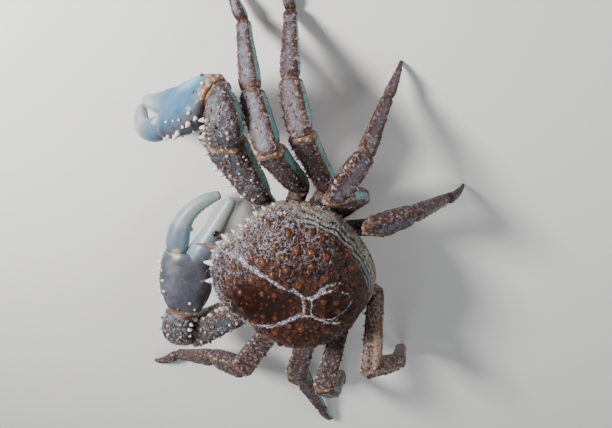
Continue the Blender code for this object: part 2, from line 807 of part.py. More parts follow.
def build_palm(name, wrist, way, spread, start_cut):
    """Swollen palm, whose fixed finger runs on from its rear half."""
    end_cut = (wrist + way * PALM_LENGTH, way)
    wide, deep = PALM_HALF_WIDTH, PALM_HALF_DEPTH
    profile = [
        (0.0, 0.50 * wide, 0.70 * deep), (0.12, 0.74 * wide, 0.88 * deep),
        (0.30, 0.92 * wide, 1.0 * deep), (0.55, 1.0 * wide, 1.0 * deep),
        (0.80, 0.98 * wide, 0.90 * deep), (1.0, 0.88 * wide, 0.74 * deep),
    ]
    segment = Segment(wrist, wrist + way * PALM_LENGTH, spread, profile, start_cut, end_cut)
    palm = make_object(f"{name}_propodus", segment.rings(12), "claw")
    line = finger_line(FIXED_FINGER, wrist, way, spread)
    boolean(palm, [finger("fixed_finger", line, spread, FIXED_SIZES)], "UNION")
    return segment


def finger_teeth(line, inward, sizes, teeth):
    """Root, way, radius and length of each tooth on the inner edge of a finger."""
    spines = []
    for along, length, radius in teeth:
        forward = bezier_way(*line, along)
        way = (inward - inward.project(forward)).normalized()
        root = bezier(*line, along) + way * between(sizes, along)[0]
        spines.append((root, way, radius, length))
    return spines


def finger(name, line, spread, sizes, cut=None, kind=None):
    """Tapered finger along a bent line, cut flat at its root where a plane is given."""
    depth_ratio = 0.92
    rings = []
    for along, radius in sizes:
        place = bezier(*line, along)
        forward = bezier_way(*line, along)
        across = (spread - spread.project(forward)).normalized()
        up = forward.cross(across)
        row = []
        for c, s in oval(10):
            point = place + across * (c * radius) + up * (s * radius * depth_ratio)
            if along == 0.0 and cut is not None:
                point += forward * slide_to_plane(point, forward, *cut)
            row.append(point)
        rings.append(row)
    return make_object(name, rings, kind)


def build_head(shell_tree):
    """Eyes and antennae under the front of the shell, and the mouth's outer feet below."""
    for side_name, sign in SIDES.items():
        aim = shell_way(Vector((sign * 0.50, 0.86, 0.10))).normalized()
        spot = shell_place(Vector((sign * 0.023, 0.050, 0.0655)))
        stalk(f"eye_{side_name}", shell_tree, spot, aim, EYE_SIZES, "eye")
        aim = shell_way(Vector((sign * 0.22, 0.95, 0.12))).normalized()
        spot = shell_place(Vector((sign * 0.013, 0.050, 0.0635)))
        stalk(f"antenna_{side_name}", shell_tree, spot, aim, ANTENNA_SIZES, "limb")
        mouth_foot(f"maxilliped_{side_name}", sign)


def stalk(name, tree, spot, aim, sizes, kind):
    """Turned body that starts on a face met by a ray from outside along its aim."""
    cut = face_plane(tree, spot + aim * 0.05, -aim)
    start = spot + aim * slide_to_plane(spot, aim, *cut)
    side = level_side(aim)
    up = aim.cross(side)
    rings = []
    for along, radius in sizes:
        row = []
        for c, s in oval(8):
            point = start + aim * along + side * (c * radius) + up * (s * radius)
            if along == 0.0:
                point += aim * slide_to_plane(point, aim, *cut)
            row.append(point)
        rings.append(row)
    return make_object(name, rings, kind)


def mouth_foot(name, sign):
    """Flat outer mouth foot that hangs before the front of the sternum."""
    half_width, thickness, low, high = 0.0075, 0.006, 0.030, 0.052
    middle = sign * (half_width + GAP)
    front = STERNUM_MIDDLE + STERNUM_HALF_LENGTH + GAP
    rings = []
    for height, scale in ((low, 0.62), (low + 0.006, 0.95), (high - 0.005, 1.0), (high, 0.80)):
        half = half_width * scale
        row = []
        for across, out in ((-1, 0.0), (1, 0.0), (1, 0.7), (0.4, 1.0), (-0.4, 1.0), (-1, 0.7)):
            local = Vector((middle + across * half, front + out * thickness * scale, height))
            row.append(shell_place(local))
        rings.append(row)
    return make_object(name, rings, "belly")


def add_spines(segments, teeth, shell_tree):
    """Join its spines to the shell and to each limb segment, clear of every other node."""
    draw = random.Random(SPINE_SEED)
    meshes = [thing for thing in bpy.data.objects if thing.type == "MESH"]
    surfaces = {thing.name: (surface_of(thing), bounds_of(thing)) for thing in meshes}
    wanted = {"carapace": edge_spines(draw) + back_tubercles(shell_tree, draw)}
    for name, segment in segments.items():
        limb, side_name, part = name.split("_")
        if part == "propodus" and limb == "arm":
            wanted[name] = segment_spines(segment, PALM_SPINES, draw) + teeth.pop(name)
            continue
        rows = (ARM_SPINES if limb == "arm" else LEG_SPINES).get(part, ())
        wanted[name] = segment_spines(segment, rows, draw, mirrored=side_name == "l")
    wanted.update(teeth)
    for name, spines in wanted.items():
        others = [pair for other, pair in surfaces.items() if other != name]
        grow(bpy.data.objects[name], spines, others)


def main():
    clear_scene()
    shell = build_shell()
    sternum = build_sternum()
    build_abdomen()
    sternum_tree = surface_of(sternum)
    shell_tree = surface_of(shell)
    build_head(shell_tree)
    segments, teeth = {}, {}
    for name in ARM_POSE:
        build_arm(name, sternum_tree, segments, teeth)
    for name in LEG_POSE:
        build_leg(name, sternum_tree, segments)
    add_spines(segments, teeth, shell_tree)


main()
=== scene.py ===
"""Looks of the spiny spider crab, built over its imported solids.

Every piece lies where the solids say, in metres, with +Z up and the crab looking towards +Y.
A direction is a pair of degrees: the turn from +X about +Z, then the climb.
"""
import math
import random

import bmesh
import bpy
import numpy as np
from bpy.props import FloatProperty, FloatVectorProperty, IntProperty, PointerProperty
from mathutils import Matrix, Vector, noise
from mathutils.bvhtree import BVHTree
from mathutils.geometry import interpolate_bezier
from mathutils.kdtree import KDTree


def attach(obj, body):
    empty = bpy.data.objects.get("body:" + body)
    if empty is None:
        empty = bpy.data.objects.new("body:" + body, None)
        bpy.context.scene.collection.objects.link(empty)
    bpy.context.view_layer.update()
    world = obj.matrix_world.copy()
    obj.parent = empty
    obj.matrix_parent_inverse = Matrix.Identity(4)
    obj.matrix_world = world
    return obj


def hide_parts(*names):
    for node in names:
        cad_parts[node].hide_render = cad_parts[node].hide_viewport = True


bl_info = {
    "name": "Spiny spider crab",
    "version": (1, 0, 0),
    "blender": (4, 5, 0),
    "location": "3D View > Sidebar > Crab",
    "description": "Builds the shell, limbs, spines and fuzz of a spiny spider crab",
    "category": "Object",
}

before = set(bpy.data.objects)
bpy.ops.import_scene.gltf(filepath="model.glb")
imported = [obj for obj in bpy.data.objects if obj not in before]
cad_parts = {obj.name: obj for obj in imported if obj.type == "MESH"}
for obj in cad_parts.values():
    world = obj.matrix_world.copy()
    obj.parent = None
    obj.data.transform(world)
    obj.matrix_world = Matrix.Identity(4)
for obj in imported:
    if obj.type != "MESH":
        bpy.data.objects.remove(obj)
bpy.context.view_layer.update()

# What one operator leaves for the next
BUILT = {}

GAP = 0.0003
FLOOR = 0.0
SHELL_X = 0.0144
SHELL_Y = -0.0204
SHELL_TURN = -4.0
SIDES = {"r": 1.0, "l": -1.0}
SEGMENTS = ("base", "merus", "carpus", "propodus", "dactyl")

# Shell: rings of the skin, and half of the furrow between its regions, seen from above
RIM_POINTS = 44
SKIN_ROUND = 560
SKIN_ROWS = 130
RIM_RINGS = ((1.004, 0.0007), (1.006, 0.0016), (1.0, 0.0026), (0.988, 0.0036))
FURROW_SOLID = (
    (0.032, 0.032), (0.020, 0.010), (0.013, -0.002), (0.009, -0.010), (0.018, -0.024),
    (0.014, -0.034), (0.0, -0.050),
)
FURROW_LINES = (
    (0.70, ((0.0265, 0.055), (0.030, 0.046), (0.031, 0.039))),
    (0.95, ((0.031, 0.039), (0.0295, 0.029), (0.0265, 0.018), (0.020, 0.0075), (0.014, -0.0035))),
    (0.85, ((0.014, -0.0035), (0.0095, -0.012))),
    (0.50, ((0.0095, -0.012), (0.0, -0.0130), (-0.0095, -0.012))),
    (0.75, ((0.0095, -0.012), (0.0090, -0.018), (0.013, -0.0235), (0.0185, -0.030), (0.020, -0.040))),
    (0.26, ((0.0090, -0.018), (0.0, -0.0185), (-0.0090, -0.018))),
    (0.45, ((0.0135, -0.024), (0.0145, -0.034), (0.008, -0.046), (0.0, -0.050))),
)
FURROW_WIDTH = 0.0021
FURROW_SHIFT = 0.0020
FURROW_DEPTH = 0.0006
EDGE_SPINES = (
    (0.085, 0.0060, 0.0020), (0.130, 0.0055, 0.0020), (0.175, 0.0105, 0.0030),
    (0.220, 0.0065, 0.0022), (0.262, 0.0070, 0.0024), (0.304, 0.0065, 0.0024),
    (0.346, 0.0070, 0.0024), (0.388, 0.0060, 0.0022), (0.430, 0.0055, 0.0022),
    (0.475, 0.0045, 0.0020), (0.520, 0.0040, 0.0020), (0.565, 0.0040, 0.0020),
    (0.612, 0.0035, 0.0018), (0.660, 0.0035, 0.0018), (0.710, 0.0035, 0.0018),
    (0.765, 0.0030, 0.0018), (0.825, 0.0030, 0.0018), (0.890, 0.0030, 0.0018),
)
TUBERCLE_SPACING = 0.0098
TUBERCLE_SCATTER = 0.0007
TUBERCLE_TRIES = 1500
GRANULE_SPACING = 0.0042
GRANULE_TRIES = 6000
WART_ROOM = 0.0046
BACK_SHARE = 0.90
FURROW_MARGIN = 0.0042
MIDDLE_HALF_WIDTH = 0.020
SPINE_SEED = 7
NOISE_SEED = 5

# Underside and head
STERNUM_HALF_WIDTH = 0.042
STERNUM_HALF_LENGTH = 0.047
STERNUM_MIDDLE = -0.004
STERNUM_BOTTOM = 0.025
SHELL_BOTTOM = 0.056
SHELL_TUCK = 0.86

# Places and aims are on the straight body; a size is half a width at a place along
HORN_OFFSET = 0.0085
HORN_SHARE = 0.90
HORN_LIFT = 0.006
HORN_WAY = (0.16, 1.0, 0.10)
HORN_RADIUS = 0.0042
EYE_AXIS = ((0.023, 0.050, 0.0655), (0.50, 0.86, 0.10))
EYE_SIZES = (
    (0.0, 0.0026), (0.004, 0.0023), (0.006, 0.0026), (0.0083, 0.0029), (0.0100, 0.0023),
    (0.0110, 0.0009),
)
ORBIT_SPINES = ((15, 0.0040), (52, 0.0052), (90, 0.0034), (128, 0.0052), (165, 0.0040))
BROW_SPINES = 34
ANTENNA_AXIS = ((0.013, 0.050, 0.0635), (0.22, 0.95, 0.12))
ANTENNA_SIZES = ((0.0, 0.0026), (0.006, 0.0026), (0.009, 0.0016), (0.013, 0.0012), (0.018, 0.0006))
HEAD_RAY = 0.05
MOUTH_HALF_WIDTH = 0.0075
MOUTH_THICKNESS = 0.006
MOUTH_HEIGHTS = (0.030, 0.052)
MOUTH_PROFILE = ((0.0, 0.62), (0.27, 0.95), (0.77, 1.0), (1.0, 0.80))
STERNUM_PROFILE = ((0.0, 0.62), (0.2, 0.90), (0.42, 1.0), (1.0, 1.0))
TAIL_OUTLINE = ((-0.030, 0.014), (-0.018, 0.014), (-0.004, 0.010), (0.008, 0.007), (0.020, 0.0035))
TAIL_THICKNESS = 0.0035
TAIL_PLATES = 6

# Limbs
HIP_HEIGHT = 0.043
LEG_LENGTHS = {
    "leg2": (0.024, 0.082, 0.044, 0.060, 0.034),
    "leg3": (0.024, 0.080, 0.041, 0.056, 0.033),
    "leg4": (0.026, 0.070, 0.038, 0.052, 0.032),
    "leg5": (0.024, 0.064, 0.036, 0.050, 0.032),
}
LEG_WIDTH = {"leg2": 0.0190, "leg3": 0.0185, "leg4": 0.0170, "leg5": 0.0165}
LEG_ROOT = {
    "leg2": (0.042, 0.006), "leg3": (0.044, -0.012), "leg4": (0.041, -0.030), "leg5": (0.028, -0.046),
}
ARM_ROOT = (0.037, 0.024)
ARM_LENGTHS = (0.022, 0.080, 0.034)
ARM_WIDTH = 0.028
PALM_LENGTH = 0.057
PALM_HALF_WIDTH = 0.0235
PALM_HALF_DEPTH = 0.0145
PALM_VOXEL = 0.0009
CLAW_REACH = 0.112
ELBOW_BOW = 0.48
FIXED_FINGER = ((0.80, -0.32), (1.40, -0.78), (1.91, -1.32))
MOVING_FINGER = {
    "arm_r": ((1.0, 0.45), (1.64, 0.50), (1.95, -1.02)),
    "arm_l": ((1.0, 0.45), (1.66, 0.64), (1.95, -0.80)),
}
FIXED_SIZES = (
    (0.0, 0.0140), (0.2, 0.0128), (0.45, 0.0098), (0.70, 0.0074), (0.9, 0.0061), (1.0, 0.0047),
)
MOVING_SIZES = (
    (0.0, 0.0092), (0.15, 0.0102), (0.40, 0.0083), (0.65, 0.0067), (0.88, 0.0055), (1.0, 0.0043),
)
LEG_POSE = {
    "leg2_r": ((-22, -6), (9, 36), (19, -31), (19, -56), 20),
    "leg3_r": ((-36, -6), (9, 25), (15, -37), (4, -52), 0),
    "leg4_r": ((-54, -4), (14, 53), (-48, -47), (-33, -58), -30),
    "leg5_r": ((-90, -2), (2, 52), (-105, -42), (-119, -54), -110),
    "leg2_l": ((164, -4), (141, 12), (112, -34), (118, -27), 118),
    "leg3_l": ((176, -4), (162, 4), (182, -34), (192, -13), 195),
    "leg4_l": ((194, -2), (161, 37), (185, -36), (185, -61), 180),
    "leg5_l": ((228, -2), (177, 49), (231, -41), (180, -60), 180),
}
ARM_POSE = {
    "arm_r": ((11, 16), (13, 19), (-3, 3), (121, -23), 77),
    "arm_l": ((148, 4), (116, 6), (0, 11), (-12, -18), 7),
}

# Profiles of the segments: fraction of the length, half width and half depth as shares
LEG_PROFILES = {
    "base": ((0.0, 0.74, 0.72), (0.5, 0.80, 0.78), (1.0, 0.78, 0.74)),
    "merus": (
        (0.0, 0.78, 0.74), (0.12, 0.90, 0.86), (0.40, 0.94, 0.92), (0.72, 1.0, 0.96),
        (0.90, 1.04, 0.98), (1.0, 0.86, 0.80),
    ),
    "carpus": (
        (0.0, 0.84, 0.78), (0.16, 1.02, 0.92), (0.45, 1.0, 0.90), (0.75, 0.98, 0.86),
        (0.92, 0.88, 0.78), (1.0, 0.68, 0.64),
    ),
    "propodus": (
        (0.0, 0.66, 0.62), (0.12, 0.80, 0.74), (0.45, 0.70, 0.64), (0.80, 0.58, 0.54),
        (0.94, 0.56, 0.52), (1.0, 0.44, 0.42),
    ),
    "dactyl": (
        (0.0, 0.42, 0.42), (0.14, 0.54, 0.54), (0.40, 0.44, 0.44), (0.70, 0.31, 0.31),
        (1.0, 0.17, 0.17),
    ),
}
ARM_PROFILES = {
    "base": ((0.0, 0.58, 0.56), (0.5, 0.62, 0.60), (1.0, 0.60, 0.56)),
    "merus": (
        (0.0, 0.60, 0.56), (0.12, 0.78, 0.72), (0.40, 0.92, 0.86), (0.70, 1.02, 0.94),
        (0.88, 1.04, 0.96), (1.0, 0.82, 0.78),
    ),
    "carpus": (
        (0.0, 0.82, 0.78), (0.22, 1.0, 0.96), (0.50, 1.04, 1.0), (0.80, 0.92, 0.86),
        (1.0, 0.68, 0.66),
    ),
}
PALM_PROFILE = (
    (0.0, 0.50, 0.70), (0.12, 0.74, 0.88), (0.30, 0.92, 1.0), (0.55, 1.0, 1.0), (0.80, 0.98, 0.90),
    (1.0, 0.88, 0.74),
)

# How square the sections are: 2 is an ellipse
LEG_SQUARE = 2.7
TIP_SQUARE = 2.2
ARM_SQUARE = 2.3
PALM_SQUARE = 2.1

# Rows of spines: angle round the segment from its front over the top, first and last place
# along it, count, length and radius
LEG_SPINES = {
    "merus": (
        (25, 0.20, 0.92, 9, 0.0036, 0.0015), (142, 0.24, 0.92, 8, 0.0026, 0.0013),
        (98, 0.28, 0.86, 5, 0.0014, 0.0010),
    ),
    "carpus": (
        (28, 0.22, 0.84, 6, 0.0030, 0.0014), (142, 0.28, 0.82, 5, 0.0020, 0.0012),
        (90, 0.34, 0.72, 3, 0.0012, 0.0009),
    ),
    "propodus": ((40, 0.16, 0.66, 6, 0.0016, 0.0010), (140, 0.20, 0.62, 5, 0.0015, 0.0010)),
    "dactyl": (),
    "base": ((40, 0.40, 0.80, 2, 0.0018, 0.0012),),
}
ARM_SPINES = {
    "base": ((30, 0.62, 0.78, 2, 0.0026, 0.0015),),
    "merus": (
        (30, 0.16, 0.88, 8, 0.0064, 0.0025), (68, 0.18, 0.88, 7, 0.0030, 0.0019),
        (105, 0.22, 0.90, 6, 0.0027, 0.0019), (150, 0.18, 0.88, 7, 0.0034, 0.0018),
    ),
    "carpus": (
        (30, 0.26, 0.76, 4, 0.0050, 0.0022), (70, 0.22, 0.80, 5, 0.0038, 0.0019),
        (110, 0.30, 0.74, 4, 0.0034, 0.0019), (155, 0.26, 0.74, 4, 0.0034, 0.0018),
    ),
}
PALM_SPINES = (
    (0, 0.10, 0.88, 7, 0.0047, 0.0022), (32, 0.20, 0.66, 4, 0.0026, 0.0015),
    (-32, 0.16, 0.60, 4, 0.0024, 0.0015), (142, 0.12, 0.28, 2, 0.0024, 0.0016),
    (95, 0.10, 0.24, 2, 0.0022, 0.0016),
)
FIXED_TEETH = (
    (0.50, 0.0012, 0.0014), (0.58, 0.0016, 0.0017), (0.66, 0.0018, 0.0018), (0.74, 0.0018, 0.0018),
    (0.82, 0.0016, 0.0016), (0.89, 0.0012, 0.0013),
)
MOVING_TEETH = (
    (0.33, 0.0036, 0.0030), (0.58, 0.0014, 0.0016), (0.66, 0.0016, 0.0017), (0.74, 0.0016, 0.0017),
    (0.82, 0.0015, 0.0015), (0.89, 0.0012, 0.0013),
)

# Spikes: how far the lowest are from the floor, where the rows of a segment's edge end, the
# kinds, and the numbers and size of the grains of each segment
LOWEST_SPIKE = 0.004
EDGE_ANGLE = 40
WHITE_SPINE, RUST_WART, LIMB_GRAIN, CLAW_TOOTH, CREAM_BEAD = 0.0, 1.0, 2.0, 3.0, 4.0
LEG_GRAINS = {"base": 10, "merus": 70, "carpus": 40, "propodus": 46, "dactyl": 12}
LEG_GRAIN_SIZE = 0.0008
ARM_GRAINS = {"base": 16, "merus": 150, "carpus": 90}
ARM_GRAIN_SIZE = 0.0011

# Knobs on the ends of the segments: place along, turn round and size, which is a share of the half
# width
LIMB_KNOBS = {
    "arm_merus": (
        (0.965, 0.02, 0.36), (0.955, 2.95, 0.22), (0.975, 1.1, 0.12), (0.97, 2.0, 0.10),
        (0.06, 0.5, 0.08), (0.06, 2.6, 0.08),
    ),
    "arm_carpus": (
        (0.06, 0.10, 0.14), (0.05, 3.0, 0.12), (0.92, 0.10, 0.24), (0.92, 3.0, 0.22), (0.95, 1.5, 0.16),
    ),
    "palm": ((0.05, 0.7, 0.12), (0.05, 2.6, 0.12), (0.06, 3.7, 0.14), (0.06, 5.5, 0.14), (0.03, 1.6, 0.12)),
    "base": ((0.90, 0.3, 0.10), (0.90, 2.8, 0.10)),
    "merus": (
        (0.955, 0.20, 0.26), (0.955, 2.95, 0.28), (0.975, 1.2, 0.12), (0.97, 2.1, 0.10),
        (0.06, 0.5, 0.08), (0.06, 2.6, 0.08),
    ),
    "carpus": ((0.05, 0.10, 0.10), (0.05, 3.0, 0.12), (0.93, 0.15, 0.14), (0.93, 3.0, 0.14)),
    "propodus": ((0.04, 0.2, 0.10), (0.04, 2.9, 0.10), (0.95, 0.1, 0.10), (0.95, 3.04, 0.10)),
    "dactyl": (),
}

# How strong each limb's markings are: lilac flats, teal rear sides, pale tops and blue palms;
# KNEES says how far the cream of a knee reaches. The teal is also brightened as painted light on
# the rear edges, and the right palm's stronger blue is partly painted light
LILAC = {
    "leg2_r": 1.0, "leg3_r": 0.50, "leg4_r": 0.45, "leg5_r": 0.80, "leg2_l": 0.10, "leg3_l": 0.35,
    "leg4_l": 0.30, "leg5_l": 0.15, "arm_r": 0.95, "arm_l": 0.95,
}
TEAL = {"leg5_l": 0.45, "leg4_l": 0.7}
KNEES = {"leg2_r": 1.5, "leg3_r": 1.4, "leg4_r": 1.3, "leg5_r": 2.2, "leg5_l": 1.5}
PALE = {"leg5_l": 1.0, "leg5_r": 0.15, "leg3_l": 0.4}
# Share of palm blue: each palm's own colour, and on the right palm also painted light
SHEEN = {"arm_r": 1.0, "arm_l": 0.22}
JOINT_REACH = {"merus": (0.04, 0.075), "carpus": (0.11, 0.06)}

# Balls of soft skin in the joints, from the hip outwards, as shares of half the limb's width
LEG_MEMBRANES = (0.66, 0.74, 0.60, 0.36)
ARM_MEMBRANES = (0.50, 0.74, 0.66)

# Fuzz: strands to a tuft and their half width, the length of a long curl as a share of a tuft's,
# and how much thicker the coat of the claw arms is
TUFT_STRANDS = 4
TUFT_WIDTH = 0.00013
CURL_STRANDS = 3
CURL_WIDTH = 0.00017
CURL_SHARE = 2.1
ARM_COAT_SHARE = 2.2

# Lamps: place, size, power and colour
LAMPS = {
    "key": ((0.50, 0.46, 0.56), 0.22, 13.0, (1.0, 0.99, 0.97)),
    "side": ((0.66, 0.56, 0.16), 0.30, 2.6, (0.96, 0.98, 1.0)),
    "fill": ((0.30, -0.85, 0.60), 0.7, 4.0, (0.95, 0.97, 1.0)),
    "rim": ((-0.7, -0.1, 0.9), 0.8, 2.2, (0.96, 0.98, 1.0)),
}
LAMP_TARGET = (0.0, 0.0, 0.05)
SKY_COLOUR = (0.82, 0.87, 0.95, 1.0)
SKY_STRENGTH = 0.09
FLOOR_REACH = 4.0
FLOOR_DROP = 0.0002

# Camera at the photo's viewing angle
CAMERA_PLACE = (0.4592, -0.1376, 0.6009)
CAMERA_RIGHT = (-0.0917, -0.9878, -0.1259)
CAMERA_UP = (0.8085, 0.0, -0.5885)
CAMERA_BACK = (0.5813, -0.1558, 0.7986)
CAMERA_LENS = 49.97


def colour_property(name, description, default):
    return FloatVectorProperty(
        name=name, description=description, default=default, subtype="COLOR", min=0.0, max=1.0
    )


def size_property(name, description, default):
    return FloatProperty(
        name=name, description=description, default=default, min=0.0, unit="LENGTH", precision=4
    )


class CrabShape(bpy.types.PropertyGroup):
    """Sizes of the shell, its tubercles and the fuzz."""

    rim_height: size_property("Rim height", "Height of the shell's edge over the floor", 0.071)
    half_width: size_property("Half width", "Middle of the shell to its side edge", 0.071)
    front_reach: size_property("Front reach", "Middle of the shell to its front edge", 0.0704)
    rear_reach: size_property("Rear reach", "Middle of the shell to its rear edge", 0.0653)
    dome_rise: size_property("Dome rise", "Height of the back over the edge", 0.0425)
    wart_length: size_property("Tubercle height", "Height of the largest tubercles", 0.0028)
    wart_radius: size_property("Tubercle radius", "Radius of the largest tubercles", 0.0026)
    horn_length: size_property("Horn length", "Length of the two horns in front", 0.016)
    tuft_length: size_property("Fuzz length", "Length of a curl of fuzz", 0.0034)
    shell_tufts: FloatProperty(
        name="Shell fuzz", description="Tufts to a square metre of thick fuzz on the shell",
        default=420000.0, min=0.0,
    )
    limb_tufts: FloatProperty(
        name="Limb fuzz", description="Tufts to a square metre of thick fuzz on the limbs",
        default=75000.0, min=0.0,
    )
    seed: IntProperty(name="Seed", description="Start of the scatter of fuzz and grains", default=11)


class CrabColours(bpy.types.PropertyGroup):
    """Colours of the crab's surfaces."""

    shell_dark: colour_property("Shell dark", "Smooth dark brown of the back", (0.0150, 0.0040, 0.0026))
    shell_brown: colour_property("Shell brown", "Warmer brown of the back", (0.046, 0.0150, 0.0080))
    shell_rust: colour_property("Shell rust", "Rust of the tubercles", (0.064, 0.018, 0.009))
    wart_top: colour_property("Tubercle tops", "Orange brown of the tubercles", (0.112, 0.042, 0.017))
    fuzz_pale: colour_property("Fuzz", "Whitish lilac of the fuzz", (0.47, 0.47, 0.54))
    limb_red: colour_property("Limb red", "Red-brown of the legs", (0.032, 0.010, 0.007))
    limb_plum: colour_property("Limb plum", "Plum brown of the legs", (0.056, 0.023, 0.021))
    limb_blue: colour_property("Limb lilac", "Lilac grey on top of the legs", (0.158, 0.160, 0.205))
    # Teal of the rear sides, made brighter than their own colour as painted light on the rear edges
    limb_teal: colour_property("Limb teal", "Teal on the rear of the legs", (0.150, 0.450, 0.450))
    arm_slate: colour_property("Arm slate", "Blue grey on top of the claw arms", (0.082, 0.091, 0.109))
    granule_brown: colour_property("Granules", "Tips of the smallest grains", (0.105, 0.040, 0.020))
    joint_cream: colour_property("Joint cream", "Cream of the joint knobs", (0.48, 0.39, 0.28))
    joint_peach: colour_property("Joint peach", "Peach between the joint knobs", (0.34, 0.130, 0.065))
    membrane: colour_property("Membrane", "Orange brown between the segments", (0.17, 0.055, 0.022))
    claw_grey: colour_property("Claw grey", "Grey lilac of the palms", (0.046, 0.046, 0.061))
    # Blue of the palms' outer faces; its strength on the right palm is partly painted light
    claw_blue: colour_property("Claw blue", "Light blue sheen of the palms", (0.014, 0.110, 0.215))
    finger_cream: colour_property("Finger white", "Bluish white of the fingers", (0.27, 0.37, 0.42))
    spine_white: colour_property("Spine white", "White of the spines", (0.72, 0.68, 0.60))
    belly_cream: colour_property("Belly cream", "Cream of the underside", (0.28, 0.205, 0.15))
    eye_dark: colour_property("Eye", "Near black of the eyes", (0.010, 0.007, 0.007))


def shape():
    return bpy.context.scene.crab_shape


def colours():
    return bpy.context.scene.crab_colours


class Wire:
    """Output of a node, which Python's arithmetic extends with Math nodes."""

    def __init__(self, graph, socket):
        self.graph = graph
        self.socket = socket

    def join(self, operation, first, second):
        return self.graph.node("ShaderNodeMath", {"operation": operation}, {0: first, 1: second})

    def __add__(self, other):
        return self.join("ADD", self, other)

    def __radd__(self, other):
        return self.join("ADD", other, self)

    def __sub__(self, other):
        return self.join("SUBTRACT", self, other)

    def __rsub__(self, other):
        return self.join("SUBTRACT", other, self)

    def __mul__(self, other):
        return self.join("MULTIPLY", self, other)

    def __rmul__(self, other):
        return self.join("MULTIPLY", other, self)

    def least(self, other):
        return self.join("MINIMUM", self, other)


class Graph:
    """Node tree under construction."""

    def __init__(self, tree):
        self.tree = tree

    def node(self, kind, settings=None, sockets=None, output=0):
        """Add a node of a type, with its settings set before its sockets, and return an output."""
        made = self.tree.nodes.new(kind)
        for key, value in (settings or {}).items():
            setattr(made, key, value)
        for key, value in (sockets or {}).items():
            if isinstance(value, Wire):
                self.tree.links.new(value.socket, made.inputs[key])
            else:
                made.inputs[key].default_value = value
        return Wire(self, made.outputs[output]) if len(made.outputs) else None


class Finish(Graph):
    """Material with helpers for the patterns that the crab's surfaces share."""

    def __init__(self, name):
        self.material = bpy.data.materials.new(name)
        self.material.use_nodes = True
        super().__init__(self.material.node_tree)
        self.tree.nodes.clear()
        self.place = self.node("ShaderNodeTexCoord", output="Object")

    def value(self, name):
        return self.node("ShaderNodeAttribute", {"attribute_name": name}, output="Fac")

    def values(self, names):
        """Values of the skin's points, of names with spaces between them."""
        return [self.value(name) for name in names.split()]

    def noise(self, scale, detail=4.0, roughness=0.55, distortion=0.0):
        sockets = {
            "Vector": self.place, "Scale": scale, "Detail": detail, "Roughness": roughness,
            "Distortion": distortion,
        }
        return self.node("ShaderNodeTexNoise", None, sockets)

    def cells(self, scale):
        """Distance to the nearest of many scattered points."""
        return self.node("ShaderNodeTexVoronoi", None, {"Vector": self.place, "Scale": scale})

    def step(self, value, low, high):
        """Rise smoothly from 0 to 1 between two values."""
        sockets = {"Value": value, "From Min": low, "From Max": high}
        return self.node("ShaderNodeMapRange", {"interpolation_type": "SMOOTHSTEP"}, sockets)

    def blend(self, factor, first, second):
        """Mix of two colours, each a wire or three numbers."""
        pair = [item if isinstance(item, Wire) else (*item, 1.0) for item in (first, second)]
        sockets = {0: factor, 6: pair[0], 7: pair[1]}
        return self.node("ShaderNodeMix", {"data_type": "RGBA"}, sockets, output=2)

    def paint(self, base, *coats):
        """Lay pairs of a factor and a colour over a base, one after the other."""
        for factor, colour in coats:
            base = self.blend(factor, base, colour)
        return base

    def bump(self, height, strength, distance):
        sockets = {"Height": height, "Strength": strength, "Distance": distance}
        return self.node("ShaderNodeBump", None, sockets)

    def joint_lumps(self, crumb, patches, mottle):
        """Cream lumps of a joint, orange in places, with brown between them."""
        tint = colours()
        cream = self.blend(self.step(mottle, 0.44, 0.60), tint.joint_cream, (0.27, 0.165, 0.105))
        lumps = self.blend(self.step(patches, 0.55, 0.64), cream, tint.joint_peach)
        return self.blend((crumb * 1.5 + mottle * 0.5).least(1.0), (0.105, 0.042, 0.026), lumps)

    def close(self, colour, roughness, normal=None, coat=0.0, fixed=None):
        """End the material in a Principled shader."""
        sockets = {
            "Base Color": colour, "Roughness": roughness, "Coat Weight": coat, "Specular IOR Level": 0.18,
        }
        if normal is not None:
            sockets["Normal"] = normal
        sockets.update(fixed or {})
        shader = self.node("ShaderNodeBsdfPrincipled", None, sockets)
        self.node("ShaderNodeOutputMaterial", None, {"Surface": shader})
        return self.material


class Grower(Graph):
    """Geometry tree with named inputs, run on an object and turned into a plain mesh."""

    def __init__(self, name, inputs):
        super().__init__(bpy.data.node_groups.new(name, "GeometryNodeTree"))
        face = self.tree.interface
        face.new_socket("Geometry", in_out="INPUT", socket_type="NodeSocketGeometry")
        self.keys = {}
        for label, (kind, default) in inputs.items():
            socket = face.new_socket(label, in_out="INPUT", socket_type=kind)
            if default is not None:
                socket.default_value = default
            self.keys[label] = socket.identifier
        face.new_socket("Geometry", in_out="OUTPUT", socket_type="NodeSocketGeometry")
        self.start = self.tree.nodes.new("NodeGroupInput")

    def inlet(self, label):
        return Wire(self, self.start.outputs[label])

    def value(self, name, kind="FLOAT"):
        return self.node("GeometryNodeInputNamedAttribute", {"data_type": kind}, {"Name": name})

    def realize(self, geometry):
        return self.node("GeometryNodeRealizeInstances", None, {"Geometry": geometry})

    def close(self, solid):
        """Smooth the geometry, give it its material and hand it out."""
        smooth = self.node("GeometryNodeSetShadeSmooth", None, {"Geometry": solid})
        sockets = {"Geometry": smooth, "Material": self.inlet("Finish")}
        dressed = self.node("GeometryNodeSetMaterial", None, sockets)
        self.node("NodeGroupOutput", None, {"Geometry": dressed})

    def run(self, name, mesh, values):
        """Grow on a mesh and keep the result as a new object."""
        carrier = add_object("carrier", mesh)
        modifier = carrier.modifiers.new("grow", "NODES")
        modifier.node_group = self.tree
        for label, value in values.items():
            modifier[self.keys[label]] = value
        graph = bpy.context.evaluated_depsgraph_get()
        result = bpy.data.meshes.new_from_object(carrier.evaluated_get(graph))
        result.name = name
        bpy.data.objects.remove(carrier)
        return add_object(name, result)


def clamp(value):
    return min(1.0, max(0.0, value))


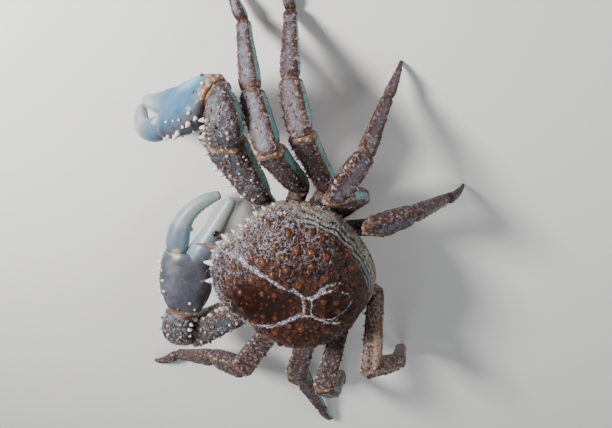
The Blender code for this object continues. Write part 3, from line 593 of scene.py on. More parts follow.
def bell(value, middle, width):
    return math.exp(-((value - middle) / width) ** 2)


def signed_power(value, power):
    return math.copysign(abs(value) ** power, value)


def way_of(turn, climb):
    """Direction from radians round +Z and of climb."""
    level = math.cos(climb)
    return Vector((math.cos(turn) * level, math.sin(turn) * level, math.sin(climb)))


def direction(turn, climb):
    return way_of(math.radians(turn), math.radians(climb))


def level_side(axis):
    return Vector((0, 0, 1)).cross(axis).normalized()


def bezier(start, pull, end, mix):
    return start * (1 - mix) ** 2 + pull * (2 * mix * (1 - mix)) + end * mix ** 2


def bezier_way(start, pull, end, mix):
    return ((pull - start) * (1 - mix) + (end - pull) * mix).normalized()


def between(stations, along):
    """Sizes at a place along a list of stations, on a smooth curve through them."""
    last = len(stations) - 1
    index = 0
    while index < last - 1 and along > stations[index + 1][0]:
        index += 1
    picks = [stations[min(last, max(0, index + k))] for k in (-1, 0, 1, 2)]
    span = picks[2][0] - picks[1][0]
    mix = clamp((along - picks[1][0]) / span)
    sizes = []
    for p0, p1, p2, p3 in zip(*(pick[1:] for pick in picks)):
        bend0, bend1 = (p2 - p0) / 2, (p3 - p1) / 2
        hermite = (
            p1 * (2 * mix ** 3 - 3 * mix ** 2 + 1) + p2 * (3 * mix ** 2 - 2 * mix ** 3)
            + bend0 * (mix ** 3 - 2 * mix ** 2 + mix) + bend1 * (mix ** 3 - mix ** 2)
        )
        sizes.append(hermite)
    return sizes


def slide_to_plane(point, axis, plane_point, plane_normal):
    return (plane_point - point).dot(plane_normal) / axis.dot(plane_normal)


def mitre(joint, inward, outward):
    """Cut planes of the two segments at a joint: the end of one and the start of the next."""
    normal = (inward + outward).normalized()
    return (joint - normal * GAP / 2, normal), (joint + normal * GAP / 2, normal)


class Segment:
    """Limb segment between two cut planes, with a smooth profile of half sizes."""

    def __init__(
        self, start, end, side, profile, start_cut, end_cut, pull=None, square=LEG_SQUARE
    ):
        self.line = (start, (start + end) / 2 if pull is None else pull, end)
        self.side = side
        self.profile = profile
        self.cuts = (start_cut, end_cut)
        self.square = square

    def frame(self, along):
        """Place on the middle line with its forward, sideways and upward directions."""
        way = bezier_way(*self.line, along)
        side = (self.side - self.side.project(way)).normalized()
        return bezier(*self.line, along), way, side, way.cross(side)

    def corner(self, along, across, rise, scale=1.0):
        place, way, side, up = self.frame(along)
        half_width, half_depth = between(self.profile, along)
        shift = side * (across * half_width * scale) + up * (rise * half_depth * scale)
        return place + shift, way

    def point(self, along, across, rise, scale=1.0):
        """Point of the surface at a fraction of the length and a place round the section."""
        slide = 0.0
        for mix, end, cut in ((1 - along, 0.0, self.cuts[0]), (along, 1.0, self.cuts[1])):
            corner, way = self.corner(end, across, rise, scale)
            slide += mix * slide_to_plane(corner, way, *cut)
        corner, way = self.corner(along, across, rise, scale)
        return corner + way * slide

    def section(self, angle):
        """Place round the rounded square section, at an angle from the side over the top."""
        power = 2 / self.square
        return signed_power(math.cos(angle), power), signed_power(math.sin(angle), power)


def shell_rim():
    """Rim of the shell seen from above, as points round it from the front."""
    width, front, rear = shape().half_width, shape().front_reach, -shape().rear_reach
    half = (
        (0.0, front), (0.17 * width, front * 0.98), (0.36 * width, front * 0.88),
        (0.57 * width, front * 0.65), (0.82 * width, front * 0.41), (0.96 * width, front * 0.20),
        (width, rear * 0.03), (0.93 * width, rear * 0.36), (0.755 * width, rear * 0.63),
        (0.47 * width, rear * 0.84), (0.22 * width, rear * 0.96), (0.0, rear),
    )
    closed = list(half) + [(-x, y) for x, y in reversed(half[1:-1])]
    count = len(closed)
    dense = []
    for index in range(count):
        p0, p1, p2, p3 = (Vector((*closed[(index + k - 1) % count], 0)) for k in range(4))
        handles = p1 + (p2 - p0) / 6, p2 - (p3 - p1) / 6
        dense += interpolate_bezier(p1, *handles, p2, 13)[:-1]
    return dense


def resample(loop, count):
    """Points at even steps along a closed loop."""
    closed = loop + loop[:1]
    reach = [0.0]
    for first, second in zip(closed, closed[1:]):
        reach.append(reach[-1] + (second - first).length)
    even = []
    index = 0
    for step in range(count):
        wanted = reach[-1] * step / count
        while reach[index + 1] < wanted:
            index += 1
        mix = (wanted - reach[index]) / (reach[index + 1] - reach[index])
        even.append(closed[index].lerp(closed[index + 1], mix))
    return even


def swelling(x, y, centre_x, centre_y, radius_x, radius_y):
    return math.exp(-(((x - centre_x) / radius_x) ** 2) - ((y - centre_y) / radius_y) ** 2)


def dome_height(x, y, ring):
    """Height of the shell above its rim: one dome, with its regions raised on it."""
    height = shape().dome_rise * (1.0 - ring ** 3.4) ** 0.57
    flank = swelling(abs(x), y, 0.036, -0.008, 0.020, 0.026)
    stomach = swelling(x, y, 0.0, 0.026, 0.022, 0.024)
    heart = swelling(x, y, 0.0, -0.026, 0.013, 0.014)
    neck = swelling(x, y, 0.0, -0.007, 0.040, 0.006)
    fade = 1.0 - ring ** 3
    return height + fade * (0.0025 * flank + 0.0020 * stomach + 0.0025 * heart - 0.0015 * neck)


def shell_way(local):
    """Direction given on the straight body, turned with it."""
    turn = math.radians(SHELL_TURN)
    x = local.x * math.cos(turn) - local.y * math.sin(turn)
    y = local.x * math.sin(turn) + local.y * math.cos(turn)
    return Vector((x, y, local.z))


def shell_place(local):
    return shell_way(local) + Vector((SHELL_X, SHELL_Y, 0))


def ride(piece, *nodes):
    """Let a piece ride on the body, in place of the solids that it stands for."""
    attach(piece, "root")
    if nodes:
        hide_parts(*nodes)
    return piece


def add_object(name, data):
    """New object of the scene, with no transform of its own."""
    made = bpy.data.objects.new(name, data)
    bpy.context.scene.collection.objects.link(made)
    return made


def by_label(rows):
    """Lists of values under their labels, from the labelled values of each point."""
    return {label: [row[label] for row in rows] for label in rows[0]}


def add_values(mesh, labels):
    """Keep a value for each point of a mesh under each name."""
    for label, numbers in labels.items():
        layer = mesh.attributes.new(label, "FLOAT", "POINT")
        layer.data.foreach_set("value", np.asarray(numbers, dtype=np.float32))


def add_vectors(mesh, label, vectors):
    layer = mesh.attributes.new(label, "FLOAT_VECTOR", "POINT")
    rows = np.array([tuple(each) for each in vectors], dtype=np.float32)
    layer.data.foreach_set("vector", rows.ravel())


def make_piece(name, points, faces, values=None, material=None):
    """Smooth mesh object, with a value for each point under each name."""
    mesh = bpy.data.meshes.new(name)
    mesh.from_pydata([tuple(point) for point in points], [], faces)
    tidy = bmesh.new()
    tidy.from_mesh(mesh)
    bmesh.ops.recalc_face_normals(tidy, faces=tidy.faces)
    tidy.to_mesh(mesh)
    tidy.free()
    mesh.shade_smooth()
    add_values(mesh, values or {})
    if material is not None:
        mesh.materials.append(material)
    return add_object(name, mesh)


def turns(count):
    """Angles at even steps round a ring."""
    return [2 * math.pi * column / count for column in range(count)]


def loft(name, rings, poles, values=None, material=None):
    """Closed skin over rings of equal count, from one pole to the other."""
    points = [point for ring in rings for point in ring] + list(poles)
    return make_piece(name, points, loft_faces(len(rings), len(rings[0])), values, material)


def loft_faces(rows, count):
    """Faces of rings of equal count between a first and a last pole."""
    faces = []
    for row in range(rows - 1):
        for column in range(count):
            following = (column + 1) % count
            low, high = row * count, (row + 1) * count
            faces.append((low + column, low + following, high + following, high + column))
    first, last, top = rows * count, rows * count + 1, (rows - 1) * count
    for column in range(count):
        following = (column + 1) % count
        faces.append((first, following, column))
        faces.append((last, top + column, top + following))
    return faces


def add_unwrap(mesh, spots):
    """UV map of the skin, from a place for each point."""
    layer = mesh.uv_layers.new(name="skin_uv")
    corners = np.zeros(len(mesh.loops), dtype=np.int32)
    mesh.loops.foreach_get("vertex_index", corners)
    flat = np.asarray(spots, dtype=np.float32)[corners]
    layer.data.foreach_set("uv", flat.ravel())


def line_distance(x, y, line):
    """Distance on the plan from a point to a chain of points."""
    nearest = 1.0
    for (ax, ay), (bx, by) in zip(line, line[1:]):
        run_x, run_y = bx - ax, by - ay
        mix = clamp(((x - ax) * run_x + (y - ay) * run_y) / (run_x ** 2 + run_y ** 2))
        nearest = min(nearest, math.hypot(x - ax - run_x * mix, y - ay - run_y * mix))
    return nearest


def furrow_distance(x, y):
    """Distance to the wandering furrow lines of the back, longer for the thin ones."""
    drift = noise.noise_vector(Vector((x, y, 0.3)) * 110) * 0.0016
    drift += noise.noise_vector(Vector((x, y, 0.7)) * 480) * 0.0007
    x, y = x - FURROW_SHIFT + drift.x, y + drift.y
    return min(line_distance(abs(x), y, line) / width for width, line in FURROW_LINES)


def half_rim_point(rim, share):
    place = share * RIM_POINTS / 2
    index = int(place)
    return rim[index].lerp(rim[index + 1], place - index)


def edge_spines(draw):
    """Spines that stand out round the edge of the shell, the same on both sides."""
    rim = resample(shell_rim(), RIM_POINTS)
    spines = []
    for share, length, radius in EDGE_SPINES:
        edge = half_rim_point(rim, share)
        step = half_rim_point(rim, share + 0.02) - half_rim_point(rim, share - 0.02)
        outward = Vector((-step.y, step.x, 0)).normalized()
        if outward.x < 0:
            outward.negate()
        for sign in (1, -1):
            root = Vector((edge.x * sign, edge.y, shape().rim_height + 0.001))
            lean = Vector((outward.x * sign, outward.y + 0.25, 0.22 + draw.uniform(-0.08, 0.08)))
            size = draw.uniform(0.9, 1.1)
            spines.append((shell_place(root), shell_way(lean), radius, length * size))
    return spines


def scatter(draw, spacing, tries, margin):
    """Places on the right half of the back, spread at random, off the furrow."""
    front, rear = shape().front_reach, -shape().rear_reach
    spots = []
    for _ in range(tries):
        x = draw.uniform(TUBERCLE_SPACING / 2, shape().half_width)
        y = draw.uniform(rear, front)
        reach = front if y > 0 else rear
        if math.hypot(x / shape().half_width, y / reach) > BACK_SHARE:
            continue
        if line_distance(x, y, FURROW_SOLID) < margin:
            continue
        if all(math.hypot(x - a, y - b) > spacing for a, b in spots):
            spots.append((x, y))
    return spots


def back_spots(draw):
    """Plan places and sizes of the tubercles of both halves of the back."""
    warts = []
    for x, y in scatter(draw, TUBERCLE_SPACING, TUBERCLE_TRIES, FURROW_MARGIN):
        small = x < MIDDLE_HALF_WIDTH
        size = draw.uniform(0.55, 0.80) if small else draw.uniform(0.68, 1.20)
        for sign in (1, -1):
            shift_x = draw.uniform(-TUBERCLE_SCATTER, TUBERCLE_SCATTER)
            shift_y = draw.uniform(-TUBERCLE_SCATTER, TUBERCLE_SCATTER)
            local = Vector((x * sign, y, 0))
            turned = shell_place(local) + Vector((shift_x, shift_y, 0))
            warts.append((turned.x, turned.y, size))
    return warts


def granule_spots(draw, warts):
    """Smaller tubercles between the large ones."""
    front, rear = shape().front_reach, -shape().rear_reach
    taken = [(x, y, WART_ROOM) for x, y, _ in warts]
    small = []
    for _ in range(GRANULE_TRIES):
        x = draw.uniform(-1, 1) * shape().half_width
        y = draw.uniform(rear, front)
        reach = front if y > 0 else rear
        share = math.hypot(x / shape().half_width, y / reach)
        if share > 0.97 or furrow_distance(x, y) < 0.0024:
            continue
        if abs(x) < MIDDLE_HALF_WIDTH and draw.random() < 0.92:
            continue
        place = shell_place(Vector((x, y, 0)))
        if any(math.hypot(place.x - a, place.y - b) < room for a, b, room in taken):
            continue
        taken.append((place.x, place.y, GRANULE_SPACING))
        small.append((place.x, place.y, draw.uniform(0.28, 0.48)))
    return small


class CrabShell:
    """Skin of the back, with its places, tubercles and furrows."""

    def __init__(self):
        noise.seed_set(NOISE_SEED)
        draw = random.Random(SPINE_SEED)
        self.edges = edge_spines(draw)
        self.warts = back_spots(draw)
        self.granules = granule_spots(random.Random(shape().seed), self.warts)

    def rings(self):
        """Share of the reach and height of each ring, from the middle of the back outwards."""
        rim_height = shape().rim_height
        levels = [(1.0 - (1.0 - row / SKIN_ROWS) ** 1.5, None) for row in range(1, SKIN_ROWS + 1)]
        levels += [(scale, rim_height - drop) for scale, drop in RIM_RINGS]
        for step in range(1, 9):
            mix = step / 8
            levels.append((0.985 + (SHELL_TUCK - 0.985) * mix ** 1.3, rim_height - 0.004 - 0.011 * mix))
        return levels + [(SHELL_TUCK * 0.6, SHELL_BOTTOM)]

    def build(self):
        rim = resample(shell_rim(), SKIN_ROUND)
        points, shares, plans = [], [], []
        for share, height in self.rings():
            for edge in rim:
                x, y = edge.x * share, edge.y * share
                lift = shape().rim_height + dome_height(x, y, share) if height is None else height
                points.append(shell_place(Vector((x, y, lift))))
                shares.append(share if height is None else 2.0)
                plans.append((x, y))
        rows = len(self.rings())
        top = shape().rim_height + dome_height(0, 0, 0.0)
        points += [shell_place(Vector((0, 0, top))), shell_place(Vector((0, 0, SHELL_BOTTOM)))]
        shares += [0.0, 2.0]
        plans += [(0.0, 0.0), (0.0, 0.0)]
        piece = make_piece("shell", points, loft_faces(rows, SKIN_ROUND))
        self.emboss(piece.data, shares, plans)
        self.unwrap(piece.data, rows)
        return piece

    def emboss(self, mesh, shares, plans):
        """Raise the tubercles and sink the furrows, and keep how much of each as values."""
        spots = self.warts + self.granules
        tree = KDTree(len(spots))
        for index, (x, y, _) in enumerate(spots):
            tree.insert((x, y, 0), index)
        tree.balance()
        labels = ("wart", "ring", "furrow", "middle", "rim", "flank", "fuzz", "net", "band", "curls")
        rows, moves = [], []
        for index, vert in enumerate(mesh.vertices):
            place = vert.co
            found = dict.fromkeys(labels, 0.0)
            move = 0.00020 * noise.fractal(place * 240, 0.8, 2.0, 3)
            drift = 0.5 + 0.9 * noise.fractal(place * 75, 0.9, 2.1, 3)
            if shares[index] <= 1.0:
                move += self.raise_warts(found, tree, spots, place, max(0.25, vert.normal.z))
                self.mark_back(found, place, drift, shares[index], *plans[index])
                move -= FURROW_DEPTH * found["furrow"]
            else:
                depth = (shape().rim_height - place.z) / 0.015
                found["rim"] = max(0.0, 1.0 - depth * 2.2)
                found["flank"] = clamp(depth * 2.0)
            fuzz = 0.12 * found["furrow"] + found["net"] * (0.04 + 0.50 * found["ring"] + 0.30 * drift)
            fuzz = (fuzz + 0.25 * found["rim"]) * (1.0 - 0.9 * found["wart"]) * (1.0 - found["flank"])
            found["fuzz"] = clamp(fuzz - 0.03)
            rows.append(found)
            moves.append(vert.normal * move)
        for vert, move in zip(mesh.vertices, moves):
            vert.co += move
        add_values(mesh, by_label(rows))

    def mark_back(self, found, place, drift, share, x, y):
        """Find how much furrow, smooth middle, lace, streaked band and curls a place has."""
        furrow = bell(furrow_distance(x, y), 0.0, FURROW_WIDTH) * min(1.0, (1.0 - share) * 9)
        if y < -0.026:
            fade = min(1.0, (-0.026 - y) / 0.010)
            furrow *= 1.0 - fade * (0.65 if x > 0.002 else 0.25)
        stomach = swelling(x, y, 0.001, 0.020, 0.024, 0.034) * 1.35
        middle = min(1.0, max(stomach, swelling(x, y, 0.0, -0.030, 0.016, 0.014)))
        ahead = clamp((y - 0.038) / 0.024)
        outer = clamp((share - 0.56) / 0.24) * clamp((y + 0.040) / 0.050)
        # Lace thicker on the right half than the left: partly the shell's own fuzz, partly painted light
        # for the brightly lit right side
        side = 0.75 + 0.25 * max(-1.0, min(1.0, x / 0.03))
        net = min(1.0, max(ahead * 0.5, 0.16 + 0.84 * outer) * side)
        net *= 1.0 - 0.95 * middle * (1.0 - ahead)
        net *= 1.0 - 0.6 * clamp((y - 0.030) / 0.016) * max(0.0, 1.0 - abs(x) / 0.040)
        streak = min(1.0, 0.80 + 0.80 * math.sin(share * 255 + 6 * noise.noise(place * 70)))
        rear = clamp((0.010 - y) / 0.02) * clamp((x + 0.02) / 0.03)
        edge = bell(share, 0.93, 0.08) * clamp((y + 0.005) / 0.02)
        curls = max(ahead * 0.8, edge) * drift * 1.3 + 0.3 * max(0.0, net - 0.3) * drift
        found.update({
            "furrow": furrow, "middle": middle, "rim": bell(share, 1.0, 0.05), "net": net,
            "band": bell(share, 0.965, 0.06) * rear * (0.20 + 0.80 * streak),
            "curls": min(1.0, curls * (1.0 - middle * (1.0 - ahead))),
        })

    def raise_warts(self, found, tree, spots, place, steep):
        """Height that the nearest tubercles add at a place."""
        height = 0.0
        for _, number, gap in tree.find_n((place.x, place.y, 0), 3):
            size = spots[number][2]
            radius = shape().wart_radius * size * 1.75
            reach = gap / radius / math.sqrt(steep + (1 - steep) * 0.5)
            if reach < 1.0:
                bump = (1 - reach ** 2) ** 1.5
                found["wart"] = max(found["wart"], bump * min(1.0, size + 0.1))
                height += shape().wart_length * size * 0.80 * bump
            elif reach < 1.8:
                found["ring"] = max(found["ring"], bell(reach, 1.36, 0.24) * min(1, size + 0.1))
        return height

    def unwrap(self, mesh, rows):
        """Spread the skin over a disc, ring by ring."""
        spots = []
        for row in range(rows):
            reach = 0.48 * (row + 1) / rows
            for angle in turns(SKIN_ROUND):
                spots.append((0.5 + reach * math.sin(angle), 0.5 + reach * math.cos(angle)))
        spots += [(0.5, 0.5), (0.5, 0.99)]
        add_unwrap(mesh, spots)

    def spikes(self, tree):
        """Root, way, radius, length and kind of every spike of the shell."""
        spikes = []
        for root, way, radius, length in self.edges:
            kind = WHITE_SPINE if length > 0.0045 else LIMB_GRAIN
            spikes.append((root, way, radius * 0.85, length * 0.75, kind))
        spikes += self.brow_spikes(tree)
        for sign in (1, -1):
            spikes += orbit_spikes(tree, sign)
        for x, y, size in self.granules:
            place, normal, _, _ = tree.ray_cast(Vector((x, y, 0.2)), Vector((0, 0, -1)))
            if place is None:
                continue
            radius = shape().wart_radius * size * 0.70
            spikes.append((place, normal, radius, shape().wart_length * size * 0.45, RUST_WART))
        horn = (HORN_OFFSET, shape().front_reach * HORN_SHARE, shape().rim_height + HORN_LIFT)
        for sign in (1, -1):
            root, way = shell_place(mirror(horn, sign)), shell_way(mirror(HORN_WAY, sign))
            spikes.append((root, way, HORN_RADIUS, shape().horn_length, WHITE_SPINE))
        return spikes

    def brow_spikes(self, tree):
        """Small white spines in a crowd along the front half of the edge, the same on both sides."""
        spikes = []
        draw = random.Random(shape().seed)
        rim = resample(shell_rim(), RIM_POINTS)
        for index in range(BROW_SPINES):
            share = 0.03 + 0.46 * (index + draw.uniform(-0.3, 0.3)) / BROW_SPINES
            edge = half_rim_point(rim, share)
            outward = Vector((edge.x, edge.y, 0)).normalized()
            for sign in (1, -1):
                lift = draw.uniform(0.004, 0.014)
                spot = shell_place(Vector((edge.x * sign, edge.y, shape().rim_height + lift)))
                inward = shell_way(-Vector((outward.x * sign, outward.y, 0.0)))
                place, normal, _, _ = tree.ray_cast(spot - inward * 0.02, inward)
                if place is not None:
                    size = draw.uniform(0.5, 1.0)
                    spikes.append((place, normal, 0.0013 * size, 0.0022 * size, WHITE_SPINE))
        return spikes


def mirror(spot, sign):
    """Spot or aim on one of the two sides, from three numbers for the right one."""
    return Vector((sign * spot[0], spot[1], spot[2]))


def head_axis(spot, aim, sign):
    """Spot inside the shell and aim of what stands out from one side of the head."""
    return shell_place(mirror(spot, sign)), shell_way(mirror(aim, sign)).normalized()


def orbit_spikes(tree, sign):
    """Small spines that stand round an eye."""
    spot, aim = head_axis(*EYE_AXIS, sign)
    side = level_side(aim)
    up = aim.cross(side)
    spikes = []
    for angle, length in ORBIT_SPINES:
        turn = math.radians(angle)
        out = side * math.cos(turn) + up * math.sin(turn)
        place, _, _, _ = tree.ray_cast(spot + out * 0.0055 + aim * 0.04, -aim)
        if place is not None:
            spikes.append((place, aim + out * 0.45, length * 0.30, length, WHITE_SPINE))
    return spikes


def surface_tree(thing):
    mesh = thing.data
    points = [vert.co.copy() for vert in mesh.vertices]
    return BVHTree.FromPolygons(points, [tuple(face.vertices) for face in mesh.polygons])


def spike_tree():
    """Tapered spikes on the points of a mesh, along their way and sized by their own values."""
    graph = Grower("spikes", {
        "Sides": ("NodeSocketInt", 8), "Rows": ("NodeSocketInt", 5), "Tip": ("NodeSocketFloat", 0.10),
        "Roundness": ("NodeSocketFloat", 0.75), "Sink": ("NodeSocketFloat", 0.25),
        "Finish": ("NodeSocketMaterial", None),
    })
    cone = graph.node("GeometryNodeMeshCone", {"fill_type": "NGON"}, {
        "Vertices": graph.inlet("Sides"), "Side Segments": graph.inlet("Rows"),
        "Radius Top": graph.inlet("Tip"), "Radius Bottom": 1.0, "Depth": 1.0,
    })
    place = graph.node("GeometryNodeInputPosition")
    split = graph.node("ShaderNodeSeparateXYZ", None, {"Vector": place}, output="Z")
    swell = 1.0 + graph.inlet("Roundness") * split
    stretch = graph.node("ShaderNodeCombineXYZ", None, {"X": swell, "Y": swell, "Z": 1.0})
    bent = graph.node("ShaderNodeVectorMath", {"operation": "MULTIPLY"}, {0: place, 1: stretch})
    named = graph.node(
        "GeometryNodeStoreNamedAttribute", {"data_type": "FLOAT", "domain": "POINT"},
        {"Geometry": cone, "Name": "tip", "Value": split},
    )
    shaped = graph.node("GeometryNodeSetPosition", None, {"Geometry": named, "Position": bent})
    drop = graph.node("ShaderNodeCombineXYZ", None, {"Z": 0.0 - graph.inlet("Sink")})
    rooted = graph.node("GeometryNodeSetPosition", None, {"Geometry": shaped, "Offset": drop})
    turn = graph.node(
        "FunctionNodeAlignRotationToVector", {"axis": "Z"}, {"Vector": graph.value("way", "FLOAT_VECTOR")}
    )
    girth, reach = graph.value("girth"), graph.value("reach")
    scale = graph.node("ShaderNodeCombineXYZ", None, {"X": girth, "Y": girth, "Z": reach})
    spikes = graph.node("GeometryNodeInstanceOnPoints", None, {
        "Points": graph.inlet("Geometry"), "Instance": rooted, "Rotation": turn, "Scale": scale,
    })
    graph.close(graph.realize(spikes))
    return graph


def spike_points(name, spikes):
    """Loose points that carry the way, girth, reach and kind of each spike."""
    mesh = bpy.data.meshes.new(name)
    roots, ways, girths, reaches, kinds = zip(*spikes)
    mesh.from_pydata([tuple(root) for root in roots], [], [])
    add_vectors(mesh, "way", [way.normalized() for way in ways])
    add_values(mesh, {"girth": girths, "reach": reaches, "kind": kinds})
    return mesh


def tuft_mesh(strands, length, width, draw):
    """A few curled strands from one root, each a thin three-sided taper."""
    points, faces, spots = [], [], []
    rows = (0.0, 0.30, 0.58, 0.82)
    for _ in range(strands):
        turn = draw.uniform(0, 2 * math.pi)
        curl = draw.uniform(1.2, 3.0) * draw.choice((-1, 1))
        reach = length * draw.uniform(0.6, 1.1)
        middle = Vector((draw.uniform(-1, 1), draw.uniform(-1, 1), -0.3)) * length * 0.16
        climb = draw.uniform(0.9, 1.4)
        first = len(points)
        last = 0.0
        for mix in rows:
            middle = middle + way_of(turn + curl * mix, climb - 1.5 * mix) * (reach * (mix - last))
            last = mix
            radius = width * (1.0 - 0.5 * mix)
            for corner in range(3):
                spin = 2 * math.pi * corner / 3 + turn
                out = Vector((math.cos(spin), math.sin(spin), 0.4 * math.cos(spin)))
                points.append(middle + out * radius)
                spots.append((0.5 + 0.3 * math.cos(spin), mix * 0.8, 0.0))
        points.append(middle + way_of(turn + curl, climb - 1.5) * (reach * (1.0 - last)))
        spots.append((0.5, 1.0, 0.0))
        for row in range(len(rows) - 1):
            for corner in range(3):
                following = (corner + 1) % 3
                low, high = first + row * 3, first + row * 3 + 3
                faces.append((low + corner, low + following, high + following, high + corner))
        top = first + 3 * len(rows) - 3
        faces += [(top + corner, top + (corner + 1) % 3, top + 3) for corner in range(3)]
        faces.append((first + 2, first + 1, first))
    mesh = bpy.data.meshes.new("tuft")
    mesh.from_pydata([tuple(point) for point in points], [], faces)
    mesh.shade_smooth()
    add_vectors(mesh, "tuft_spot", spots)
    return mesh


def coat_tree():
    """Tufts scattered over a skin as thick as its fuzz value says, each with its own bake patch."""
    graph = Grower("coat", {
        "Density": ("NodeSocketFloat", 300000.0), "Seed": ("NodeSocketInt", 1),
        "Lean": ("NodeSocketFloat", 0.45), "Patch": ("NodeSocketFloat", 0.003),
        "Where": ("NodeSocketString", "fuzz"), "Tuft": ("NodeSocketObject", None),
        "Finish": ("NodeSocketMaterial", None),
    })
    density = graph.inlet("Density") * graph.value(graph.inlet("Where"))
    sockets = {"Mesh": graph.inlet("Geometry"), "Density": density, "Seed": graph.inlet("Seed")}
    spread = graph.node(
        "GeometryNodeDistributePointsOnFaces", {"distribute_method": "RANDOM"}, sockets, output="Points"
    )
    turn = Wire(graph, spread.socket.node.outputs["Rotation"])
    lean = graph.inlet("Lean")
    low = graph.node("ShaderNodeCombineXYZ", None, {"X": 0.0 - lean, "Y": 0.0 - lean, "Z": 0.0})
    high = graph.node("ShaderNodeCombineXYZ", None, {"X": lean, "Y": lean, "Z": 2 * math.pi})
    spin = graph.node(
        "FunctionNodeRandomValue", {"data_type": "FLOAT_VECTOR"}, {"Min": low, "Max": high, "Seed": 5}
    )
    by = graph.node("FunctionNodeEulerToRotation", None, {"Euler": spin})
    turned = graph.node(
        "FunctionNodeRotateRotation", {"rotation_space": "LOCAL"}, {"Rotation": turn, "Rotate By": by}
    )
    size = graph.node(
        "FunctionNodeRandomValue", {"data_type": "FLOAT"}, {2: 0.55, 3: 1.25, "Seed": 9}, output=1
    )
    tuft = graph.node("GeometryNodeObjectInfo", None, {"Object": graph.inlet("Tuft")}, output="Geometry")
    coat = graph.node("GeometryNodeInstanceOnPoints", None, {
        "Points": spread, "Instance": tuft, "Rotation": turned, "Scale": size,
    })
    solid = graph.realize(coat)
    spot = graph.value("tuft_spot", "FLOAT_VECTOR")
    patch = graph.node(
        "ShaderNodeVectorMath", {"operation": "SCALE"}, {0: spot, "Scale": graph.inlet("Patch")}
    )
    root = graph.value("skin_uv", "FLOAT_VECTOR")
    place = graph.node("ShaderNodeVectorMath", {"operation": "ADD"}, {0: root, 1: patch})
    mapped = graph.node(
        "GeometryNodeStoreNamedAttribute", {"data_type": "FLOAT2", "domain": "CORNER"},
        {"Geometry": solid, "Name": "OFBake", "Value": place},
    )
    graph.close(mapped)
    return graph


def joints_of(start, ways, lengths):
    joints = [start]
    for way, length in zip(ways, lengths):
        joints.append(joints[-1] + way * length)
    return joints


def limb_root(place, side_name):
    return shell_place(Vector((place[0] * SIDES[side_name], place[1], HIP_HEIGHT)))


def scaled(profile, half_width, half_depth):
    return [(along, width * half_width, depth * half_depth) for along, width, depth in profile]


def hip_cut(joint, way):
    """Plane on the breast plate's side where a limb starts."""
    tree = surface_tree(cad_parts["sternum"])
    place, normal, _, _ = tree.ray_cast(joint, -way)
    return place + normal * GAP, normal


def leg_segments(name):
    """Segments and joint centres of one walking leg."""
    pair, side_name = name.split("_")
    lengths = LEG_LENGTHS[pair]
    *pose, tip_turn = LEG_POSE[name]
    ways = [direction(*angles) for angles in pose]
    joints = joints_of(limb_root(LEG_ROOT[pair], side_name), ways, lengths)
    ankle = joints[-1]
    reach = math.sqrt(lengths[4] ** 2 - (ankle.z - FLOOR) ** 2)
    tip = Vector((ankle.x, ankle.y, FLOOR)) + direction(tip_turn, 0) * reach
    half = LEG_WIDTH[pair] / 2
    start_cut = hip_cut(joints[1], ways[0])
    ways.append((tip - ankle).normalized())
    segments = {}
    for index, part in enumerate(SEGMENTS[:4]):
        end_cut, next_cut = mitre(joints[index + 1], ways[index], ways[index + 1])
        profile = scaled(LEG_PROFILES[part], half, half)
        segments[part] = Segment(
            joints[index], joints[index + 1], level_side(ways[index]), profile, start_cut, end_cut
        )
        start_cut = next_cut
    arch = (tip - ankle).length * 0.16
    axis = (tip - ankle).normalized()
    bow = (ankle + tip) / 2 + Vector((0, 0, arch)) + Vector((axis.x, axis.y, 0)) * arch
    floor_cut = (Vector((0, 0, FLOOR)), Vector((0, 0, 1)))
    profile = scaled(LEG_PROFILES["dactyl"], half, half)
    segments["dactyl"] = Segment(
        ankle, tip, level_side(axis), profile, start_cut, floor_cut, bow, TIP_SQUARE
    )
    return segments, joints[1:]


def elbow_pull(start, end, before, after):
    axis = end - start
    lean = before - after
    lean -= lean.project(axis)
    return (start + end) / 2 + lean.normalized() * (axis.length * ELBOW_BOW)


def arm_segments(name):
    """Segments, joint centres and claw axes of one claw arm."""
    *pose, roll = ARM_POSE[name]
    ways = [direction(*angles) for angles in pose]
    joints = joints_of(limb_root(ARM_ROOT, name.split("_")[1]), ways, ARM_LENGTHS)
    start_cut = hip_cut(joints[1], ways[0])
    pull = elbow_pull(joints[2], joints[3], ways[1], ways[3])
    enter = [ways[0], ways[1], (pull - joints[2]).normalized(), ways[3]]
    leave = [ways[0], ways[1], (joints[3] - pull).normalized()]
    segments = {}
    for index, part in enumerate(SEGMENTS[:3]):
        end_cut, next_cut = mitre(joints[index + 1], leave[index], enter[index + 1])
        segments[part] = Segment(
            joints[index], joints[index + 1], level_side(ways[index]),
            scaled(ARM_PROFILES[part], ARM_WIDTH / 2, ARM_WIDTH / 2), start_cut, end_cut,
            pull if part == "carpus" else None, ARM_SQUARE,
        )
        start_cut = next_cut
    wrist, way = joints[-1], ways[-1]
    left = level_side(way)
    turn = math.radians(roll)
    spread = left * math.cos(turn) + way.cross(left) * math.sin(turn)
    profile = scaled(PALM_PROFILE, PALM_HALF_WIDTH, PALM_HALF_DEPTH)
    end = wrist + way * PALM_LENGTH
    segments["propodus"] = Segment(
        wrist, end, spread, profile, start_cut, (end, way), None, PALM_SQUARE
    )
    return segments, joints[1:], (wrist, way, spread)


def finger_line(stations, wrist, way, spread):
    return [
        wrist + way * (along * PALM_LENGTH) + spread * (across * PALM_HALF_WIDTH)
        for along, across in stations
    ]


def ring_stations(steps):
    """Places along a segment and scales of its rings, rounded off at both ends."""
    ends = ((0.0, 0.70), (0.0, 0.88), (0.004, 0.95), (0.014, 0.985))
    inner = [(0.03 + 0.94 * index / steps, 1.0) for index in range(steps + 1)]
    return list(ends) + inner + [(1 - along, scale) for along, scale in reversed(ends)]


